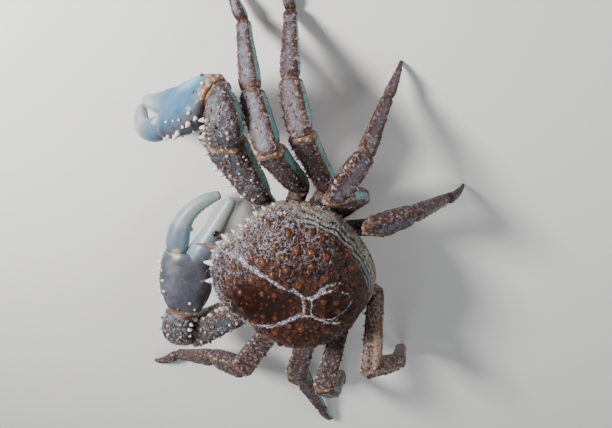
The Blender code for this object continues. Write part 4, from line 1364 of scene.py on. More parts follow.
def knob(along, turn, places):
    """Swelling of the knobs on which the next segment hinges."""
    total = 0.0
    for spot, angle, size in places:
        off = math.atan2(math.sin(turn - angle), math.cos(turn - angle))
        total += size * math.exp(-((along - spot) / 0.036) ** 2 - (off / 0.40) ** 2)
    return total


class SkinAtlas:
    """Cells of the unwrap shared by the skins of all limbs."""

    columns = 8
    rows = 8

    def __init__(self):
        self.used = 0

    def next_cell(self):
        cell = self.used
        self.used += 1
        return cell % self.columns, cell // self.columns

    def place(self, cell, turn, along):
        return (
            (cell[0] + 0.06 + 0.88 * turn) / self.columns, (cell[1] + 0.06 + 0.88 * along) / self.rows
        )


def segment_skin(name, segment, part, limb, material, atlas, steps=54, around=48):
    """Ridged skin of one limb segment, with its places and markings as values."""
    cell = atlas.next_cell()
    arm = limb.startswith("arm")
    ridged = 0.0 if part in ("base", "dactyl", "palm") else 0.5 if arm else 1.0
    seed = Vector((0.0, 0.0, 0.37)) * (cell[0] + cell[1] * 8)
    knobs = LIMB_KNOBS.get(f"arm_{part}" if arm else part, LIMB_KNOBS[part])
    knee = KNEES.get(limb, 1.0)
    low, high = JOINT_REACH.get(part, (0.05, 0.05))
    low, high = low * knee, high * (knee if part == "merus" else 1.0)
    lilac = LILAC[limb] * (0.45 if not arm and part in ("base", "merus") else 1.0)
    rings, spots, rows = [], [], []
    for along, scale in ring_stations(steps):
        middle = segment.frame(along)[0]
        body = clamp(along / 0.12) * clamp((1.0 - along) / 0.10)
        near = max(bell(along, 1.0, high), 0.8 * bell(along, 0.0, low))
        ring = []
        for column, angle in enumerate(turns(around)):
            across, rise = segment.section(angle)
            turn = angle if limb.endswith("r") else (math.pi - angle) % (2 * math.pi)
            swell = knob(along, turn, knobs)
            ridge = max(bell(turn, 0.80, 0.24), bell(turn, 2.34, 0.22)) * ridged * body
            dip = bell(turn, 1.57, 0.34) * ridged * body
            point = segment.point(along, across, rise, scale)
            lumps = max(0.0, noise.noise(point * 330 + seed)) * (0.05 + 0.12 * ridge)
            wander = (0.040 + 0.08 * near) * noise.fractal(point * 130 + seed, 0.9, 2.0, 3)
            wander += 0.09 * near * noise.noise(point * 420 + seed)
            grow = swell + 0.085 * ridge - 0.06 * dip + (lumps * body if ridged else 0.0)
            point += (point - middle) * (grow + wander * min(1.0, scale * 1.2 - 0.2))
            point.z = max(point.z, FLOOR)
            ring.append(point)
            spots.append(atlas.place(cell, column / around, along))
            drift = 0.5 + 0.9 * noise.fractal(point * 90, 0.9, 2.1, 2)
            fuzz = drift * (0.35 + 0.65 * ridge) * (1.0 - 0.5 * near) * (0.3 if part == "dactyl" else 1)
            rows.append({
                "flat": bell(turn, 1.57, 0.54) * body, "ridge": ridge, "under": bell(turn, 4.71, 0.95),
                "rear": bell(turn, 2.98, 0.50) * body * TEAL.get(limb, 1.0), "lilac": lilac,
                "joint": min(1.0, near * 0.70 + swell * 4.0), "fuzz": clamp(fuzz),
                "pale": PALE.get(limb, 0.0) * max(bell(turn, 1.9, 0.7), 0.75 * body),
            })
        rings.append(ring)
    poles = []
    for end, cut in enumerate(segment.cuts):
        place, way, _, _ = segment.frame(float(end))
        pole = place + way * slide_to_plane(place, way, *cut)
        pole.z = max(pole.z, FLOOR)
        poles.append(pole)
        rows.append({**dict.fromkeys(rows[0], 0.0), "joint": 1.0})
        spots.append(atlas.place(cell, 0.5, float(end)))
    piece = loft(name, rings, poles, by_label(rows), material)
    add_unwrap(piece.data, spots)
    return piece


def tube(name, line, spread, sizes, cut=None, around=32, steps=44):
    """Smooth finger along a bent line, flat at its root and rounded at its tip."""
    stations = [(index / steps, 1.0) for index in range(steps + 1)]
    rings = []
    for along, scale in stations + [(1.012, 0.90), (1.022, 0.70), (1.028, 0.40)]:
        radius = between(sizes, min(along, 1.0))[0] * scale
        place = bezier(*line, along)
        forward = bezier_way(*line, min(along, 1.0))
        across = (spread - spread.project(forward)).normalized()
        up = forward.cross(across)
        ring = []
        for angle in turns(around):
            point = place + across * (math.cos(angle) * radius) + up * (math.sin(angle) * radius * 0.92)
            if cut is not None and along < 0.12:
                slide = slide_to_plane(point, forward, *cut)
                point += forward * slide * (1.0 - along / 0.12) * (1.0 if along == 0.0 else 0.6)
            ring.append(point)
        rings.append(ring)
    return loft(name, rings, (line[0] if cut is None else cut[0], bezier(*line, 1.03)))


def join_pieces(name, pieces):
    """Make one object of several."""
    with bpy.context.temp_override(
        active_object=pieces[0], object=pieces[0], selected_objects=pieces,
        selected_editable_objects=pieces,
    ):
        bpy.ops.object.join()
    pieces[0].name = name
    pieces[0].data.name = name
    return pieces[0]


def bake_modifiers(piece):
    """Replace a piece's mesh by the result of its modifiers."""
    graph = bpy.context.evaluated_depsgraph_get()
    mesh = bpy.data.meshes.new_from_object(piece.evaluated_get(graph))
    piece.modifiers.clear()
    piece.data = mesh
    mesh.shade_smooth()


def claw_values(piece, axes, limb, atlas, inward):
    """Keep on a palm or finger where its tips, wrist, hinge and outer and inner faces are, its arm's share
    of palm blue, and a patch of painted highlight on the palm.
    """
    wrist, way, spread = axes
    up = way.cross(spread)
    cell = atlas.next_cell()
    mesh = piece.data
    rows, spots = [], []
    sign = SIDES[limb[-1]]
    for vert in mesh.vertices:
        local = vert.co - wrist
        along, across, deep = local.dot(way), local.dot(spread), local.dot(up)
        length, width = along / PALM_LENGTH, across / PALM_HALF_WIDTH
        facing = vert.normal.dot(up) * sign
        # The sheen value is the arm's share of palm blue, partly painted light; a lighter patch on the dome
        # of the palm near the wrist is kept as a painted highlight.
        rows.append({
            "tips": clamp((length - 0.86) / 0.62), "outer": facing, "sheen": SHEEN[limb],
            "wrist": bell(max(0.0, along), 0.0, 0.0050),
            "hinge": bell(math.hypot(length - 1.0, (width - 0.45) * 0.5), 0.0, 0.12),
            "glow": bell(length, 0.34, 0.30) * bell(width, -0.40, 0.42) * max(0.0, facing),
            "inner": max(0.0, vert.normal.dot(spread) * inward),
        })
        turn = (math.atan2(deep, across) / (2 * math.pi)) % 1.0
        spots.append(atlas.place(cell, turn, clamp(along / CLAW_REACH)))
    add_values(mesh, by_label(rows))
    add_unwrap(mesh, spots)


def build_palm_skin(name, palm, axes, limb, material, atlas):
    """Palm that flows into its fixed finger, as one skin."""
    plain = segment_skin("palm_body", palm, "palm", limb, None, SkinAtlas(), 48, 56)
    finger = tube("fixed_finger", finger_line(FIXED_FINGER, *axes), axes[2], FIXED_SIZES)
    piece = join_pieces(name, [plain, finger])
    remesh = piece.modifiers.new("fuse", "REMESH")
    remesh.mode = "VOXEL"
    remesh.voxel_size = PALM_VOXEL
    flow = piece.modifiers.new("flow", "SMOOTH")
    flow.factor = 0.5
    flow.iterations = 10
    bake_modifiers(piece)
    piece.data.materials.clear()
    piece.data.materials.append(material)
    claw_values(piece, axes, limb, atlas, 1.0)
    return piece


def limb_spikes(segment, rows, draw, mirrored, edge_kind, top_kind):
    """Root, way, radius, length and kind of the spikes in rows along a segment."""
    spikes = []
    for angle, first, last, count, length, radius in rows:
        scatter = 0.018 if angle < EDGE_ANGLE else 0.036
        for index in range(count):
            along = first + (last - first) * index / max(count - 1, 1)
            along += draw.uniform(-scatter, scatter)
            turn = math.radians(angle + draw.uniform(-450, 450) * scatter)
            across, rise = segment.section(turn)
            if mirrored:
                across = -across
            _, forward, side, up = segment.frame(along)
            way = side * across + up * rise + forward * 0.20
            size = draw.uniform(0.45, 1.20)
            root = segment.point(along, across, rise)
            shade = edge_kind if angle < EDGE_ANGLE else LIMB_GRAIN if draw.random() < 0.35 else top_kind
            if root.z > FLOOR + LOWEST_SPIKE:
                spikes.append((root, way, radius * math.sqrt(size), length * size, shade))
    return spikes


def limb_grains(segment, count, draw, mirrored, size):
    """Small grains scattered over the top and both edges of a segment."""
    grains = []
    for _ in range(count):
        along = draw.uniform(0.10, 0.92)
        across, rise = segment.section(math.radians(draw.uniform(-25, 205)))
        if mirrored:
            across = -across
        _, _, side, up = segment.frame(along)
        grow = size * draw.uniform(0.4, 1.2)
        root = segment.point(along, across, rise)
        if root.z > FLOOR + LOWEST_SPIKE:
            grains.append((root, side * across + up * rise, grow, grow * 0.9, LIMB_GRAIN))
    return grains


def finger_teeth(line, inward, sizes, teeth):
    spikes = []
    for along, length, radius in teeth:
        forward = bezier_way(*line, along)
        way = (inward - inward.project(forward)).normalized()
        root = bezier(*line, along) + way * (between(sizes, along)[0] * 0.94)
        spikes.append((root, way, radius, length, CLAW_TOOTH))
    return spikes


def membrane_balls(joints, shares, half):
    """Folded membrane that shows in the gaps of a limb's joints."""
    balls = []
    for place, share in zip(joints, shares):
        made = bmesh.new()
        bmesh.ops.create_uvsphere(made, u_segments=20, v_segments=12, radius=half * share)
        mesh = bpy.data.meshes.new("ball")
        made.to_mesh(mesh)
        made.free()
        for vert in mesh.vertices:
            vert.co += vert.co * (0.06 * noise.noise(vert.co * 900 + place * 50)) + place
        mesh.shade_smooth()
        mesh.materials.append(BUILT["membrane"])
        balls.append(add_object("ball", mesh))
    return balls


def shell_finish():
    """Dark brown back with rust tubercles, lacy pale fuzz between them and a streaked rear edge."""
    tint, made = colours(), Finish("shell_skin")
    wart, ring, furrow, middle = made.values("wart ring furrow middle")
    rim, flank, net, band = made.values("rim flank net band")
    patches, mottle, fine = made.noise(60, 3.0), made.noise(260, 3.0, 0.6), made.noise(900, 4.0, 0.6)
    crumbs = made.noise(400, 2.0, 0.5)
    lumps = 1.0 - made.step(made.cells(400), 0.12, 0.60)
    beads = (1.0 - made.step(made.cells(760), 0.08, 0.42)) * made.step(mottle + patches * 0.4, 0.62, 0.80)
    lace = made.step(mottle * 0.30 + made.noise(620, 3.0, 0.65, 0.6) * 0.70, 0.50, 0.565)
    line = made.step(furrow + mottle * 0.8 + crumbs * 0.9, 1.15, 1.45)
    grit = made.step(made.cells(430), 0.28, 0.58) * made.step(fine + crumbs, 0.74, 0.96) * line
    down = (0.25 + ring * 0.75) * net * lace * 1.35
    down = (down * (1.0 - made.step(wart, 0.20, 0.5)) + line).least(1.0) * (1.0 - flank)
    stripe = made.step(band + mottle * 0.6 + fine * 0.3, 0.84, 1.14)
    streaks = made.blend(made.step(patches, 0.50, 0.62), (0.33, 0.33, 0.31), (0.15, 0.28, 0.27))
    soiled = made.step(patches * 0.6 + mottle * 0.4, 0.44, 0.58)
    below = made.blend(soiled, (0.060, 0.034, 0.028), tint.belly_cream)
    base = made.paint(
        made.blend(made.step(patches, 0.38, 0.62), tint.shell_dark, tint.shell_brown),
        (made.step(mottle, 0.52, 0.66) * 0.45, (0.080, 0.034, 0.022)),
        (lumps * 0.6 * (1.0 - middle), tint.shell_rust),
        (beads * 0.75 * (1.0 - middle * 0.75), (0.215, 0.125, 0.080)),
        (middle * 0.8, tint.shell_dark),
        (made.step(patches + mottle * 0.5, 0.78, 0.95) * middle * 0.7, (0.075, 0.024, 0.011)),
        (made.step(wart, 0.02, 0.35), tint.shell_rust),
        (made.step(wart + mottle * 0.4, 0.62, 1.15), tint.wart_top),
        (down * 0.92, tint.fuzz_pale),
        (grit * 0.9, (0.085, 0.050, 0.042)),
        (made.step(crumbs, 0.54, 0.64) * line * 0.6, (0.64, 0.65, 0.70)),
        (stripe * (0.55 + made.step(crumbs, 0.40, 0.58) * 0.37), streaks),
        (made.step(rim + mottle, 1.15, 1.55) * 0.5, tint.joint_cream),
        (flank, made.blend(lace * 0.5, below, tint.fuzz_pale)),
    )
    rough = 0.30 + down * 0.45 + fine * 0.20 - wart * 0.04
    relief = mottle * 0.45 + fine * 0.35 + down * 0.40 + (lumps * 0.6 + beads * 0.5) * (1.0 - middle)
    normal = made.bump(relief - grit * 0.4, 0.90, 0.0012)
    coat = (0.06 + wart * 0.22) * (1.0 - down)
    return made.close(base, rough, normal, coat, {"Specular IOR Level": 0.15, "Coat Roughness": 0.16})


def limb_finish(name, flats, shine, cover, frost):
    """Plum and red-brown limb with lilac flats, a teal rear side brightened as painted light, lumpy cream
    joints and specks.
    """
    tint, made = colours(), Finish(name)
    flat, ridge, rear, under, joint, lilac, pale = made.values("flat ridge rear under joint lilac pale")
    patches, mottle, fine = made.noise(85, 3.0), made.noise(380, 5.0, 0.62), made.noise(1300, 4.0, 0.6)
    lumps = 1.0 - made.step(made.cells(520), 0.10, 0.55)
    pits = 1.0 - made.step(made.cells(310), 0.05, 0.17)
    crumb = 1.0 - made.step(made.cells(300), 0.16, 0.52)
    blots = made.step(made.noise(190, 3.0, 0.6, 0.5), 0.48, 0.60)
    knobs = made.step(joint + mottle * 0.7, 0.80, 1.20)
    level = made.step(flat * 0.8 + mottle * 0.7 + patches * 0.6, cover, cover + 0.55) * lilac
    # Teal rear side: its own colour, brightened as painted light on the rear edges
    behind = made.step(rear + patches * 0.6 + mottle * 0.7, 1.10, 1.50) * (1.0 - made.step(joint, 0.2, 0.5))
    speck = made.step(fine * 0.40 + mottle * 0.60, 0.53, 0.60) * (1.0 - level * (0.6 - frost * 0.5))
    base = made.paint(
        made.blend(made.step(patches, 0.36, 0.64), tint.limb_red, tint.limb_plum),
        (made.step(mottle, 0.50, 0.66) * 0.5, (0.150, 0.090, 0.082)),
        (lumps * 0.35, (0.16, 0.062, 0.035)),
        (level * (1.0 - blots * 0.55) * 0.85, flats),
        (pits * 0.7, (0.040, 0.018, 0.014)),
        (made.step(pale * 0.8 + mottle * 1.2, 1.05, 1.45) * 0.75, (0.40, 0.265, 0.175)),
        # Teal of the rear side, partly painted light
        (behind * shine, made.blend(made.step(mottle, 0.42, 0.60), tint.limb_teal, (0.16, 0.25, 0.23))),
        (made.step(under, 0.45, 0.90) * 0.6, tint.belly_cream),
        (speck * (0.50 + frost * 0.3), tint.fuzz_pale),
        (made.step(ridge * lumps, 0.35, 0.75) * 0.8, (0.34, 0.17, 0.085)),
        (knobs * 0.92, made.joint_lumps(crumb, patches, mottle)),
    )
    rough = 0.32 + speck * 0.30 + mottle * 0.20 - level * 0.05
    relief = mottle * 0.45 + fine * 0.40 + speck * 0.3 + lumps * (1.0 - level) * 0.45 - pits * 0.3
    normal = made.bump(relief + crumb * knobs * 0.9, 0.80, 0.0008)
    return made.close(base, rough, normal, 0.0, {"Specular IOR Level": 0.35})


def claw_finish():
    """Glossy grey-lilac palm, light blue outside, that pales to bluish white fingers, with a painted
    highlight of lighter blue on the palm's dome; the right claw's stronger blue is partly painted light.
    """
    tint, made = colours(), Finish("claw_skin")
    tips, outer, wrist, hinge, sheen, glow, inner = made.values("tips outer wrist hinge sheen glow inner")
    patches, mottle, fine = made.noise(50, 3.0), made.noise(240, 5.0, 0.6), made.noise(900, 4.0, 0.55)
    crumb = 1.0 - made.step(made.cells(300), 0.16, 0.52)
    edge = made.step(wrist + mottle * 0.4, 0.60, 1.05)
    finger = made.paint(
        (0.150, 0.180, 0.215),
        (made.step(inner + tips * 0.35 + patches * 0.5, 0.45, 1.05), tint.finger_cream),
        # Fingers bluer on the right claw: partly painted light
        (sheen * 0.55 * (1.0 - made.step(tips, 0.7, 1.1)), tint.claw_blue),
    )
    base = made.paint(
        tint.claw_grey,
        (made.step(patches, 0.34, 0.66) * 0.7, (0.105, 0.104, 0.13)),
        # Blue of the outer face: its own colour, made stronger on the right palm as painted light
        (made.step(outer + patches * 0.4, 0.55, 1.20) * sheen, tint.claw_blue),
        (made.step(mottle, 0.58, 0.72) * 0.20, (0.30, 0.30, 0.33)),
        # Painted highlight: a lighter blue patch on the dome of the palm
        (made.step(glow + patches * 0.5, 0.45, 1.35) * sheen, (0.10, 0.42, 0.66)),
        (made.step(tips + patches * 0.5 + mottle * 0.2, 0.32, 0.85), finger),
        (made.step(tips + patches * 0.4 + mottle * 0.2, 1.10, 1.50), (0.36, 0.37, 0.34)),
        (made.step(fine * 0.4 + mottle * 0.6, 0.50, 0.62) * 0.20, (0.075, 0.070, 0.078)),
        (made.step(hinge + mottle * 0.3, 0.55, 1.0) * 0.8, tint.joint_cream),
        (edge, made.joint_lumps(crumb, patches, mottle)),
    )
    rough = 0.34 + mottle * 0.25 + wrist * 0.20
    normal = made.bump(mottle * 0.6 + fine * 0.4 + crumb * edge * 2.0, 0.45, 0.0006)
    return made.close(base, rough, normal, 0.20, {"Coat Roughness": 0.22, "Specular IOR Level": 0.4})


def spike_finish():
    """Spikes by their kind: white spines, rust tubercles, limb grains, teeth and cream beads."""
    tint, made = colours(), Finish("spikes")
    tip, kind = made.values("tip kind")
    mottle, fine = made.noise(420, 4.0), made.noise(1500, 3.0)

    def tapered(blots, low, high, root, top):
        return made.blend(made.step(tip + mottle * blots, low, high), root, top)

    looks = (
        tapered(0.5, 0.30, 0.80, (0.11, 0.055, 0.045), tint.spine_white),
        tapered(0.4, 0.45, 1.2, tint.shell_brown, tint.granule_brown),
        tapered(0.5, 0.45, 1.1, (0.060, 0.023, 0.017), (0.24, 0.125, 0.065)),
        made.blend(mottle * 0.4, (0.36, 0.44, 0.47), (0.42, 0.37, 0.30)),
        tapered(0.6, 0.40, 1.0, (0.13, 0.050, 0.028), (0.52, 0.43, 0.34)),
    )
    steps = [(made.step(kind, last + 0.4, last + 0.6), look) for last, look in enumerate(looks[1:])]
    base = made.paint(looks[0], *steps)
    return made.close(base, 0.36 + mottle * 0.25, made.bump(fine, 0.4, 0.0003))


def fuzz_finish():
    """Whitish lilac fuzz, browner in patches."""
    tint, made = colours(), Finish("fuzz")
    patches, mottle = made.noise(90, 4.0), made.noise(700, 3.0)
    base = made.paint(
        tint.fuzz_pale,
        (made.step(patches, 0.44, 0.60) * 0.85, (0.13, 0.080, 0.068)),
        (made.step(mottle, 0.48, 0.62) * 0.75, (0.74, 0.75, 0.80)),
    )
    return made.close(base, 0.80 + mottle * 0.05)


def membrane_finish():
    """Wrinkled orange brown membrane."""
    tint, made = colours(), Finish("membrane")
    mottle, fine = made.noise(350, 4.0), made.noise(1400, 3.0)
    base = made.blend(made.step(mottle, 0.42, 0.62), tint.membrane, tint.joint_peach)
    return made.close(base, 0.45 + mottle * 0.2, made.bump(mottle * 0.7 + fine * 0.3, 0.7, 0.0006))


def belly_finish():
    """Mottled cream and red-brown underside."""
    tint, made = colours(), Finish("belly")
    patches, mottle, fine = made.noise(70, 3.0), made.noise(320, 5.0), made.noise(1200, 3.0)
    base = made.paint(
        tint.belly_cream,
        (made.step(patches, 0.38, 0.60) * 0.8, (0.13, 0.062, 0.045)),
        (made.step(mottle, 0.50, 0.64) * 0.7, tint.limb_red),
        (made.step(fine, 0.54, 0.64) * 0.5, tint.fuzz_pale),
    )
    return made.close(base, 0.46 + mottle * 0.25, made.bump(mottle * 0.6 + fine * 0.5, 0.7, 0.0008))


def eye_finish():
    """Glossy dark eye on a speckled red-brown stalk."""
    tint, made = colours(), Finish("eye")
    mottle = made.noise(500, 4.0)
    cornea = made.step(made.value("along") + mottle * 0.06, 0.62, 0.68)
    stalk = made.blend(made.step(mottle, 0.45, 0.60), tint.limb_plum, (0.24, 0.19, 0.18))
    base = made.blend(cornea, stalk, tint.eye_dark)
    return made.close(base, 0.55 - cornea * 0.47, None, cornea * 0.8, {"Coat Roughness": 0.05})


def stage_finish(name, colour, roughness):
    made = Finish(name)
    mottle = made.noise(6, 3.0)
    base = made.blend(mottle * 0.25, colour, tuple(part * 0.96 for part in colour))
    return made.close(base, roughness)


class CRAB_OT_shell(bpy.types.Operator):
    """Back plate with its embossed tubercles and furrows"""

    bl_idname = "crab.shell"
    bl_label = "Shell"

    def execute(self, context):
        maker = CrabShell()
        piece = BUILT["shell"] = maker.build()
        piece.data.materials.append(shell_finish())
        ride(piece, "carapace")
        BUILT["spikes"] = {"shell_spikes": maker.spikes(surface_tree(piece))}
        BUILT["membrane"] = membrane_finish()
        BUILT["atlas"] = SkinAtlas()
        return {"FINISHED"}


class CRAB_OT_legs(bpy.types.Operator):
    """Eight walking legs, segment by segment"""

    bl_idname = "crab.legs"
    bl_label = "Walking legs"

    def execute(self, context):
        material = limb_finish("leg_skin", colours().limb_blue, 0.90, 0.92, 0.0)
        draw = random.Random(shape().seed + 1)
        skins, balls, spikes = [], [], []
        for name in LEG_POSE:
            mirrored = name.endswith("l")
            edge = LIMB_GRAIN if name == "leg5_r" else CREAM_BEAD
            segments, joints = leg_segments(name)
            for part, segment in segments.items():
                node = f"{name}_{part}"
                skin = segment_skin(f"{node}_skin", segment, part, name, material, BUILT["atlas"])
                skins.append(ride(skin, node))
                spikes += limb_spikes(segment, LEG_SPINES[part], draw, mirrored, edge, LIMB_GRAIN)
                spikes += limb_grains(segment, LEG_GRAINS[part], draw, mirrored, LEG_GRAIN_SIZE)
            balls += membrane_balls(joints, LEG_MEMBRANES, LEG_WIDTH[name[:4]] / 2)
        ride(join_pieces("leg_membranes", balls))
        BUILT["leg_skins"] = skins
        BUILT["spikes"]["leg_spikes"] = spikes
        return {"FINISHED"}


class CRAB_OT_claws(bpy.types.Operator):
    """Both claw arms, with their palms and fingers"""

    bl_idname = "crab.claws"
    bl_label = "Claw arms"

    def execute(self, context):
        limb = limb_finish("arm_skin", colours().arm_slate, 0.75, 0.60, 1.0)
        claw = claw_finish()
        atlas = BUILT["atlas"]
        draw = random.Random(shape().seed + 2)
        skins, balls, spikes = [], [], []
        for name in ARM_POSE:
            mirrored = name.endswith("l")
            segments, joints, axes = arm_segments(name)
            for part in SEGMENTS[:3]:
                node, segment = f"{name}_{part}", segments[part]
                skin = segment_skin(f"{node}_skin", segment, part, name, limb, atlas, 60, 56)
                skins.append(ride(skin, node))
                spikes += limb_spikes(segment, ARM_SPINES[part], draw, mirrored, WHITE_SPINE, CREAM_BEAD)
                spikes += limb_grains(segment, ARM_GRAINS[part], draw, mirrored, ARM_GRAIN_SIZE)
            palm = segments["propodus"]
            ride(build_palm_skin(f"{name}_palm_skin", palm, axes, name, claw, atlas), f"{name}_propodus")
            spikes += limb_spikes(palm, PALM_SPINES, draw, False, WHITE_SPINE, WHITE_SPINE)
            wrist, way, spread = axes
            fixed = finger_line(FIXED_FINGER, *axes)
            spikes += finger_teeth(fixed, spread, FIXED_SIZES, FIXED_TEETH)
            line = finger_line(MOVING_FINGER[name], wrist + way * GAP, way, spread)
            moving = tube(f"{name}_finger_skin", line, spread, MOVING_SIZES, (line[0], way))
            moving.data.materials.append(claw)
            claw_values(moving, axes, name, atlas, -1.0)
            ride(moving, f"{name}_dactyl")
            spikes += finger_teeth(line, -spread, MOVING_SIZES, MOVING_TEETH)
            balls += membrane_balls(joints, ARM_MEMBRANES, ARM_WIDTH / 2)
        ride(join_pieces("arm_membranes", balls))
        BUILT["arm_skins"] = skins
        BUILT["spikes"]["arm_spikes"] = spikes
        return {"FINISHED"}


class CRAB_OT_spikes(bpy.types.Operator):
    """Spines, tubercle tips, grains and teeth, grown on their points"""

    bl_idname = "crab.spikes"
    bl_label = "Spines"

    def execute(self, context):
        graph = spike_tree()
        material = spike_finish()
        for name, spikes in BUILT["spikes"].items():
            ride(graph.run(name, spike_points(name, spikes), {"Finish": material}))
        return {"FINISHED"}


class CRAB_OT_coat(bpy.types.Operator):
    """Short curly fuzz over the shell and the limbs"""

    bl_idname = "crab.coat"
    bl_label = "Fuzz"

    def execute(self, context):
        graph = coat_tree()
        draw = random.Random(shape().seed + 3)
        length = shape().tuft_length
        tuft = add_object("tuft", tuft_mesh(TUFT_STRANDS, length, TUFT_WIDTH, draw))
        curl = add_object("curl", tuft_mesh(CURL_STRANDS, length * CURL_SHARE, CURL_WIDTH, draw))
        values = {"Tuft": tuft, "Finish": fuzz_finish(), "Density": shape().shell_tufts / 2}
        more = {"Tuft": curl, "Density": shape().shell_tufts / 3, "Where": "curls"}
        rows = (("shell_fuzz_1", 1, {}), ("shell_fuzz_2", 2, {}), ("shell_curls", 3, more))
        for name, seed, changes in rows:
            mesh = BUILT["shell"].data.copy()
            ride(graph.run(name, mesh, {**values, **changes, "Seed": seed}))
        self.cover("leg", graph, {**values, "Density": shape().limb_tufts}, 2)
        self.cover("arm", graph, {**values, "Density": shape().limb_tufts * ARM_COAT_SHARE}, 1)
        for part in (tuft, curl):
            bpy.data.objects.remove(part)
        return {"FINISHED"}

    def cover(self, group, graph, values, parts):
        """Fuzz over all skins of a group of limbs, joined into a few pieces."""
        grown = []
        for index, skin in enumerate(BUILT[f"{group}_skins"]):
            piece = graph.run("fuzz", skin.data.copy(), {**values, "Seed": index})
            if len(piece.data.polygons):
                grown.append(piece)
            else:
                bpy.data.objects.remove(piece)
        cuts = [len(grown) * part // parts for part in range(parts + 1)]
        for number, (first, last) in enumerate(zip(cuts, cuts[1:]), 1):
            ride(join_pieces(f"{group}_fuzz_{number}", grown[first:last]))


class CRAB_OT_head(bpy.types.Operator):
    """Eyes, antennae and outer mouth feet"""

    bl_idname = "crab.head"
    bl_label = "Head"

    def execute(self, context):
        eye = eye_finish()
        belly = BUILT["belly"] = belly_finish()
        for side in SIDES:
            self.stalk(f"eye_{side}", "ball", EYE_AXIS, EYE_SIZES, eye)
            self.stalk(f"antenna_{side}", "rod", ANTENNA_AXIS, ANTENNA_SIZES, belly)
            self.mouth_foot(f"maxilliped_{side}", belly)
        return {"FINISHED"}

    def stalk(self, node, ending, axis, sizes, material):
        """Turned body along an aim, from the face that carries it."""
        spot, aim = head_axis(*axis, SIDES[node[-1]])
        tree = surface_tree(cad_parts["carapace"])
        place, normal, _, _ = tree.ray_cast(spot + aim * HEAD_RAY, -aim)
        start = spot + aim * slide_to_plane(spot, aim, place + normal * GAP, normal)
        side = level_side(aim)
        up = aim.cross(side)
        around, steps, reach = 28, 40, sizes[-1][0]
        rings, alongs = [], []
        for row in range(steps + 1):
            along = row / steps
            radius = between(sizes, along * reach)[0]
            middle = start + aim * (along * reach)
            across = [side * math.cos(angle) + up * math.sin(angle) for angle in turns(around)]
            rings.append([middle + out * radius for out in across])
            alongs += [along] * around
        poles = (start - aim * 0.0005, start + aim * (reach + 0.0004))
        ride(loft(f"{node}_{ending}", rings, poles, {"along": alongs + [0.0, 1.0]}, material), node)

    def mouth_foot(self, node, material):
        """Flat outer mouth foot with a groove down it."""
        low, high = MOUTH_HEIGHTS
        middle = SIDES[node[-1]] * (MOUTH_HALF_WIDTH + GAP)
        front = STERNUM_MIDDLE + STERNUM_HALF_LENGTH + GAP
        around, steps = 40, 26
        rings = []
        for row in range(steps + 1):
            along = row / steps
            pinch = 1.0 - 0.10 * bell(along, 0.62, 0.03)
            half = MOUTH_HALF_WIDTH * between(MOUTH_PROFILE, along)[0] * pinch
            height = low + (high - low) * along
            ring = []
            for angle in turns(around):
                across = signed_power(math.cos(angle), 0.6)
                out = 0.5 + 0.5 * signed_power(math.sin(angle), 0.6)
                out -= 0.10 * bell(across, 0.25, 0.10) * (out > 0.6)
                depth = front + out * MOUTH_THICKNESS * pinch
                ring.append(shell_place(Vector((middle + across * half, depth, height))))
            rings.append(ring)
        depth = front + MOUTH_THICKNESS / 2
        poles = [shell_place(Vector((middle, depth, height))) for height in MOUTH_HEIGHTS]
        ride(loft(f"{node}_skin", rings, poles, None, material), node)


class CRAB_OT_underside(bpy.types.Operator):
    """Breast plate and folded tail flap"""

    bl_idname = "crab.underside"
    bl_label = "Underside"

    def execute(self, context):
        self.breast_plate(BUILT["belly"])
        self.tail_flap(BUILT["belly"])
        return {"FINISHED"}

    def breast_plate(self, material):
        """Breast plate with shallow grooves down its sides."""
        top = SHELL_BOTTOM - GAP
        around, steps = 96, 30
        rings = []
        for row in range(steps + 1):
            along = row / steps
            scale = between(STERNUM_PROFILE, along)[0]
            height = STERNUM_BOTTOM + (top - STERNUM_BOTTOM) * along
            ring = []
            for angle in turns(around):
                groove = 1.0 - 0.012 * max(0.0, math.cos(angle * 10)) ** 6 * (along < 0.7)
                x = math.cos(angle) * STERNUM_HALF_WIDTH * scale * groove
                y = STERNUM_MIDDLE + math.sin(angle) * STERNUM_HALF_LENGTH * scale * groove
                ring.append(shell_place(Vector((x, y, height))))
            rings.append(ring)
        poles = [shell_place(Vector((0, STERNUM_MIDDLE, height))) for height in (STERNUM_BOTTOM, top)]
        ride(loft("sternum_skin", rings, poles, None, material), "sternum")

    def tail_flap(self, material):
        """Tail flap in six plates that narrow forwards."""
        top = STERNUM_BOTTOM - GAP
        rear, front = TAIL_OUTLINE[0][0], TAIL_OUTLINE[-1][0]
        around, steps = 36, 72
        rings = []
        for row in range(steps + 1):
            y = rear + (front - rear) * row / steps
            plate = (row / steps * TAIL_PLATES) % 1.0
            lift = 0.78 + 0.22 * min(1.0, plate * 4, (1 - plate) * 8)
            width = between(TAIL_OUTLINE, y)[0] * (0.96 + 0.04 * lift)
            ring = []
            for angle in turns(around):
                across = signed_power(math.cos(angle), 0.55)
                rise = signed_power(math.sin(angle), 0.55)
                drop = TAIL_THICKNESS * (0.5 - 0.5 * rise * (lift if rise < 0 else 1.0))
                ring.append(shell_place(Vector((across * width, y, top - drop))))
            rings.append(ring)
        poles = [shell_place(Vector((0, y, top - TAIL_THICKNESS / 2))) for y in (rear, front)]
        ride(loft("abdomen_skin", rings, poles, None, material), "abdomen")


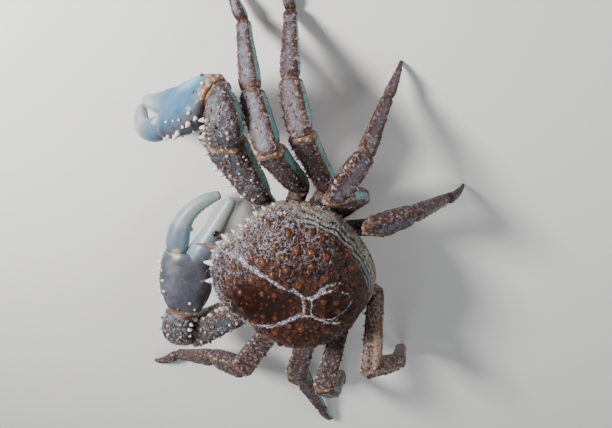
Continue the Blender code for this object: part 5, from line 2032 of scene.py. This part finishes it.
class CRAB_OT_stage(bpy.types.Operator):
    """Pale floor, soft light and the camera"""

    bl_idname = "crab.stage"
    bl_label = "Stage"

    def execute(self, context):
        mesh = bpy.data.meshes.new("floor")
        signs = ((-1, -1), (1, -1), (1, 1), (-1, 1))
        corners = [(x * FLOOR_REACH, y * FLOOR_REACH, -FLOOR_DROP) for x, y in signs]
        mesh.from_pydata(corners, [], [(0, 1, 2, 3)])
        mesh.materials.append(stage_finish("floor", (0.84, 0.83, 0.81), 0.8))
        floor = add_object("floor", mesh)
        world = bpy.data.worlds.new("studio")
        world.use_nodes = True
        sky = world.node_tree.nodes["Background"].inputs
        sky["Color"].default_value = SKY_COLOUR
        sky["Strength"].default_value = SKY_STRENGTH
        context.scene.world = world
        for name, look in LAMPS.items():
            self.lamp(name, *look)
        data = bpy.data.cameras.new("camera")
        data.sensor_width = 36.0
        data.lens = CAMERA_LENS
        data.clip_start = 0.01
        camera = context.scene.camera = add_object("camera", data)
        frame = Matrix((CAMERA_RIGHT, CAMERA_UP, CAMERA_BACK)).transposed().to_4x4()
        frame.translation = Vector(CAMERA_PLACE)
        camera.matrix_world = frame
        return {"FINISHED"}

    def lamp(self, name, place, size, power, colour):
        """Round soft lamp that faces the crab."""
        data = bpy.data.lights.new(name, "AREA")
        data.shape = "DISK"
        data.size = size
        data.energy = power
        data.color = colour
        made = add_object(name, data)
        made.location = place
        made.rotation_euler = (Vector(LAMP_TARGET) - Vector(place)).to_track_quat("-Z", "Y").to_euler()


class CRAB_PT_panel(bpy.types.Panel):
    """Pieces of the crab in building order"""

    bl_idname = "CRAB_PT_panel"
    bl_label = "Spiny spider crab"
    bl_space_type = "VIEW_3D"
    bl_region_type = "UI"
    bl_category = "Crab"

    def draw(self, context):
        for group in (context.scene.crab_shape, context.scene.crab_colours):
            for label in group.__annotations__:
                self.layout.prop(group, label)
        for operator in OPERATORS:
            self.layout.operator(operator.bl_idname)


OPERATORS = (
    CRAB_OT_shell, CRAB_OT_legs, CRAB_OT_claws, CRAB_OT_head, CRAB_OT_underside, CRAB_OT_spikes,
    CRAB_OT_coat, CRAB_OT_stage,
)
CLASSES = (CrabShape, CrabColours) + OPERATORS + (CRAB_PT_panel,)


def register():
    for each in CLASSES:
        bpy.utils.register_class(each)
    bpy.types.Scene.crab_shape = PointerProperty(type=CrabShape)
    bpy.types.Scene.crab_colours = PointerProperty(type=CrabColours)


def unregister():
    del bpy.types.Scene.crab_colours
    del bpy.types.Scene.crab_shape
    for each in reversed(CLASSES):
        bpy.utils.unregister_class(each)


def main():
    register()
    for operator in OPERATORS:
        group, label = operator.bl_idname.split(".")
        getattr(getattr(bpy.ops, group), label)()


if __name__ == "__main__":
    main()
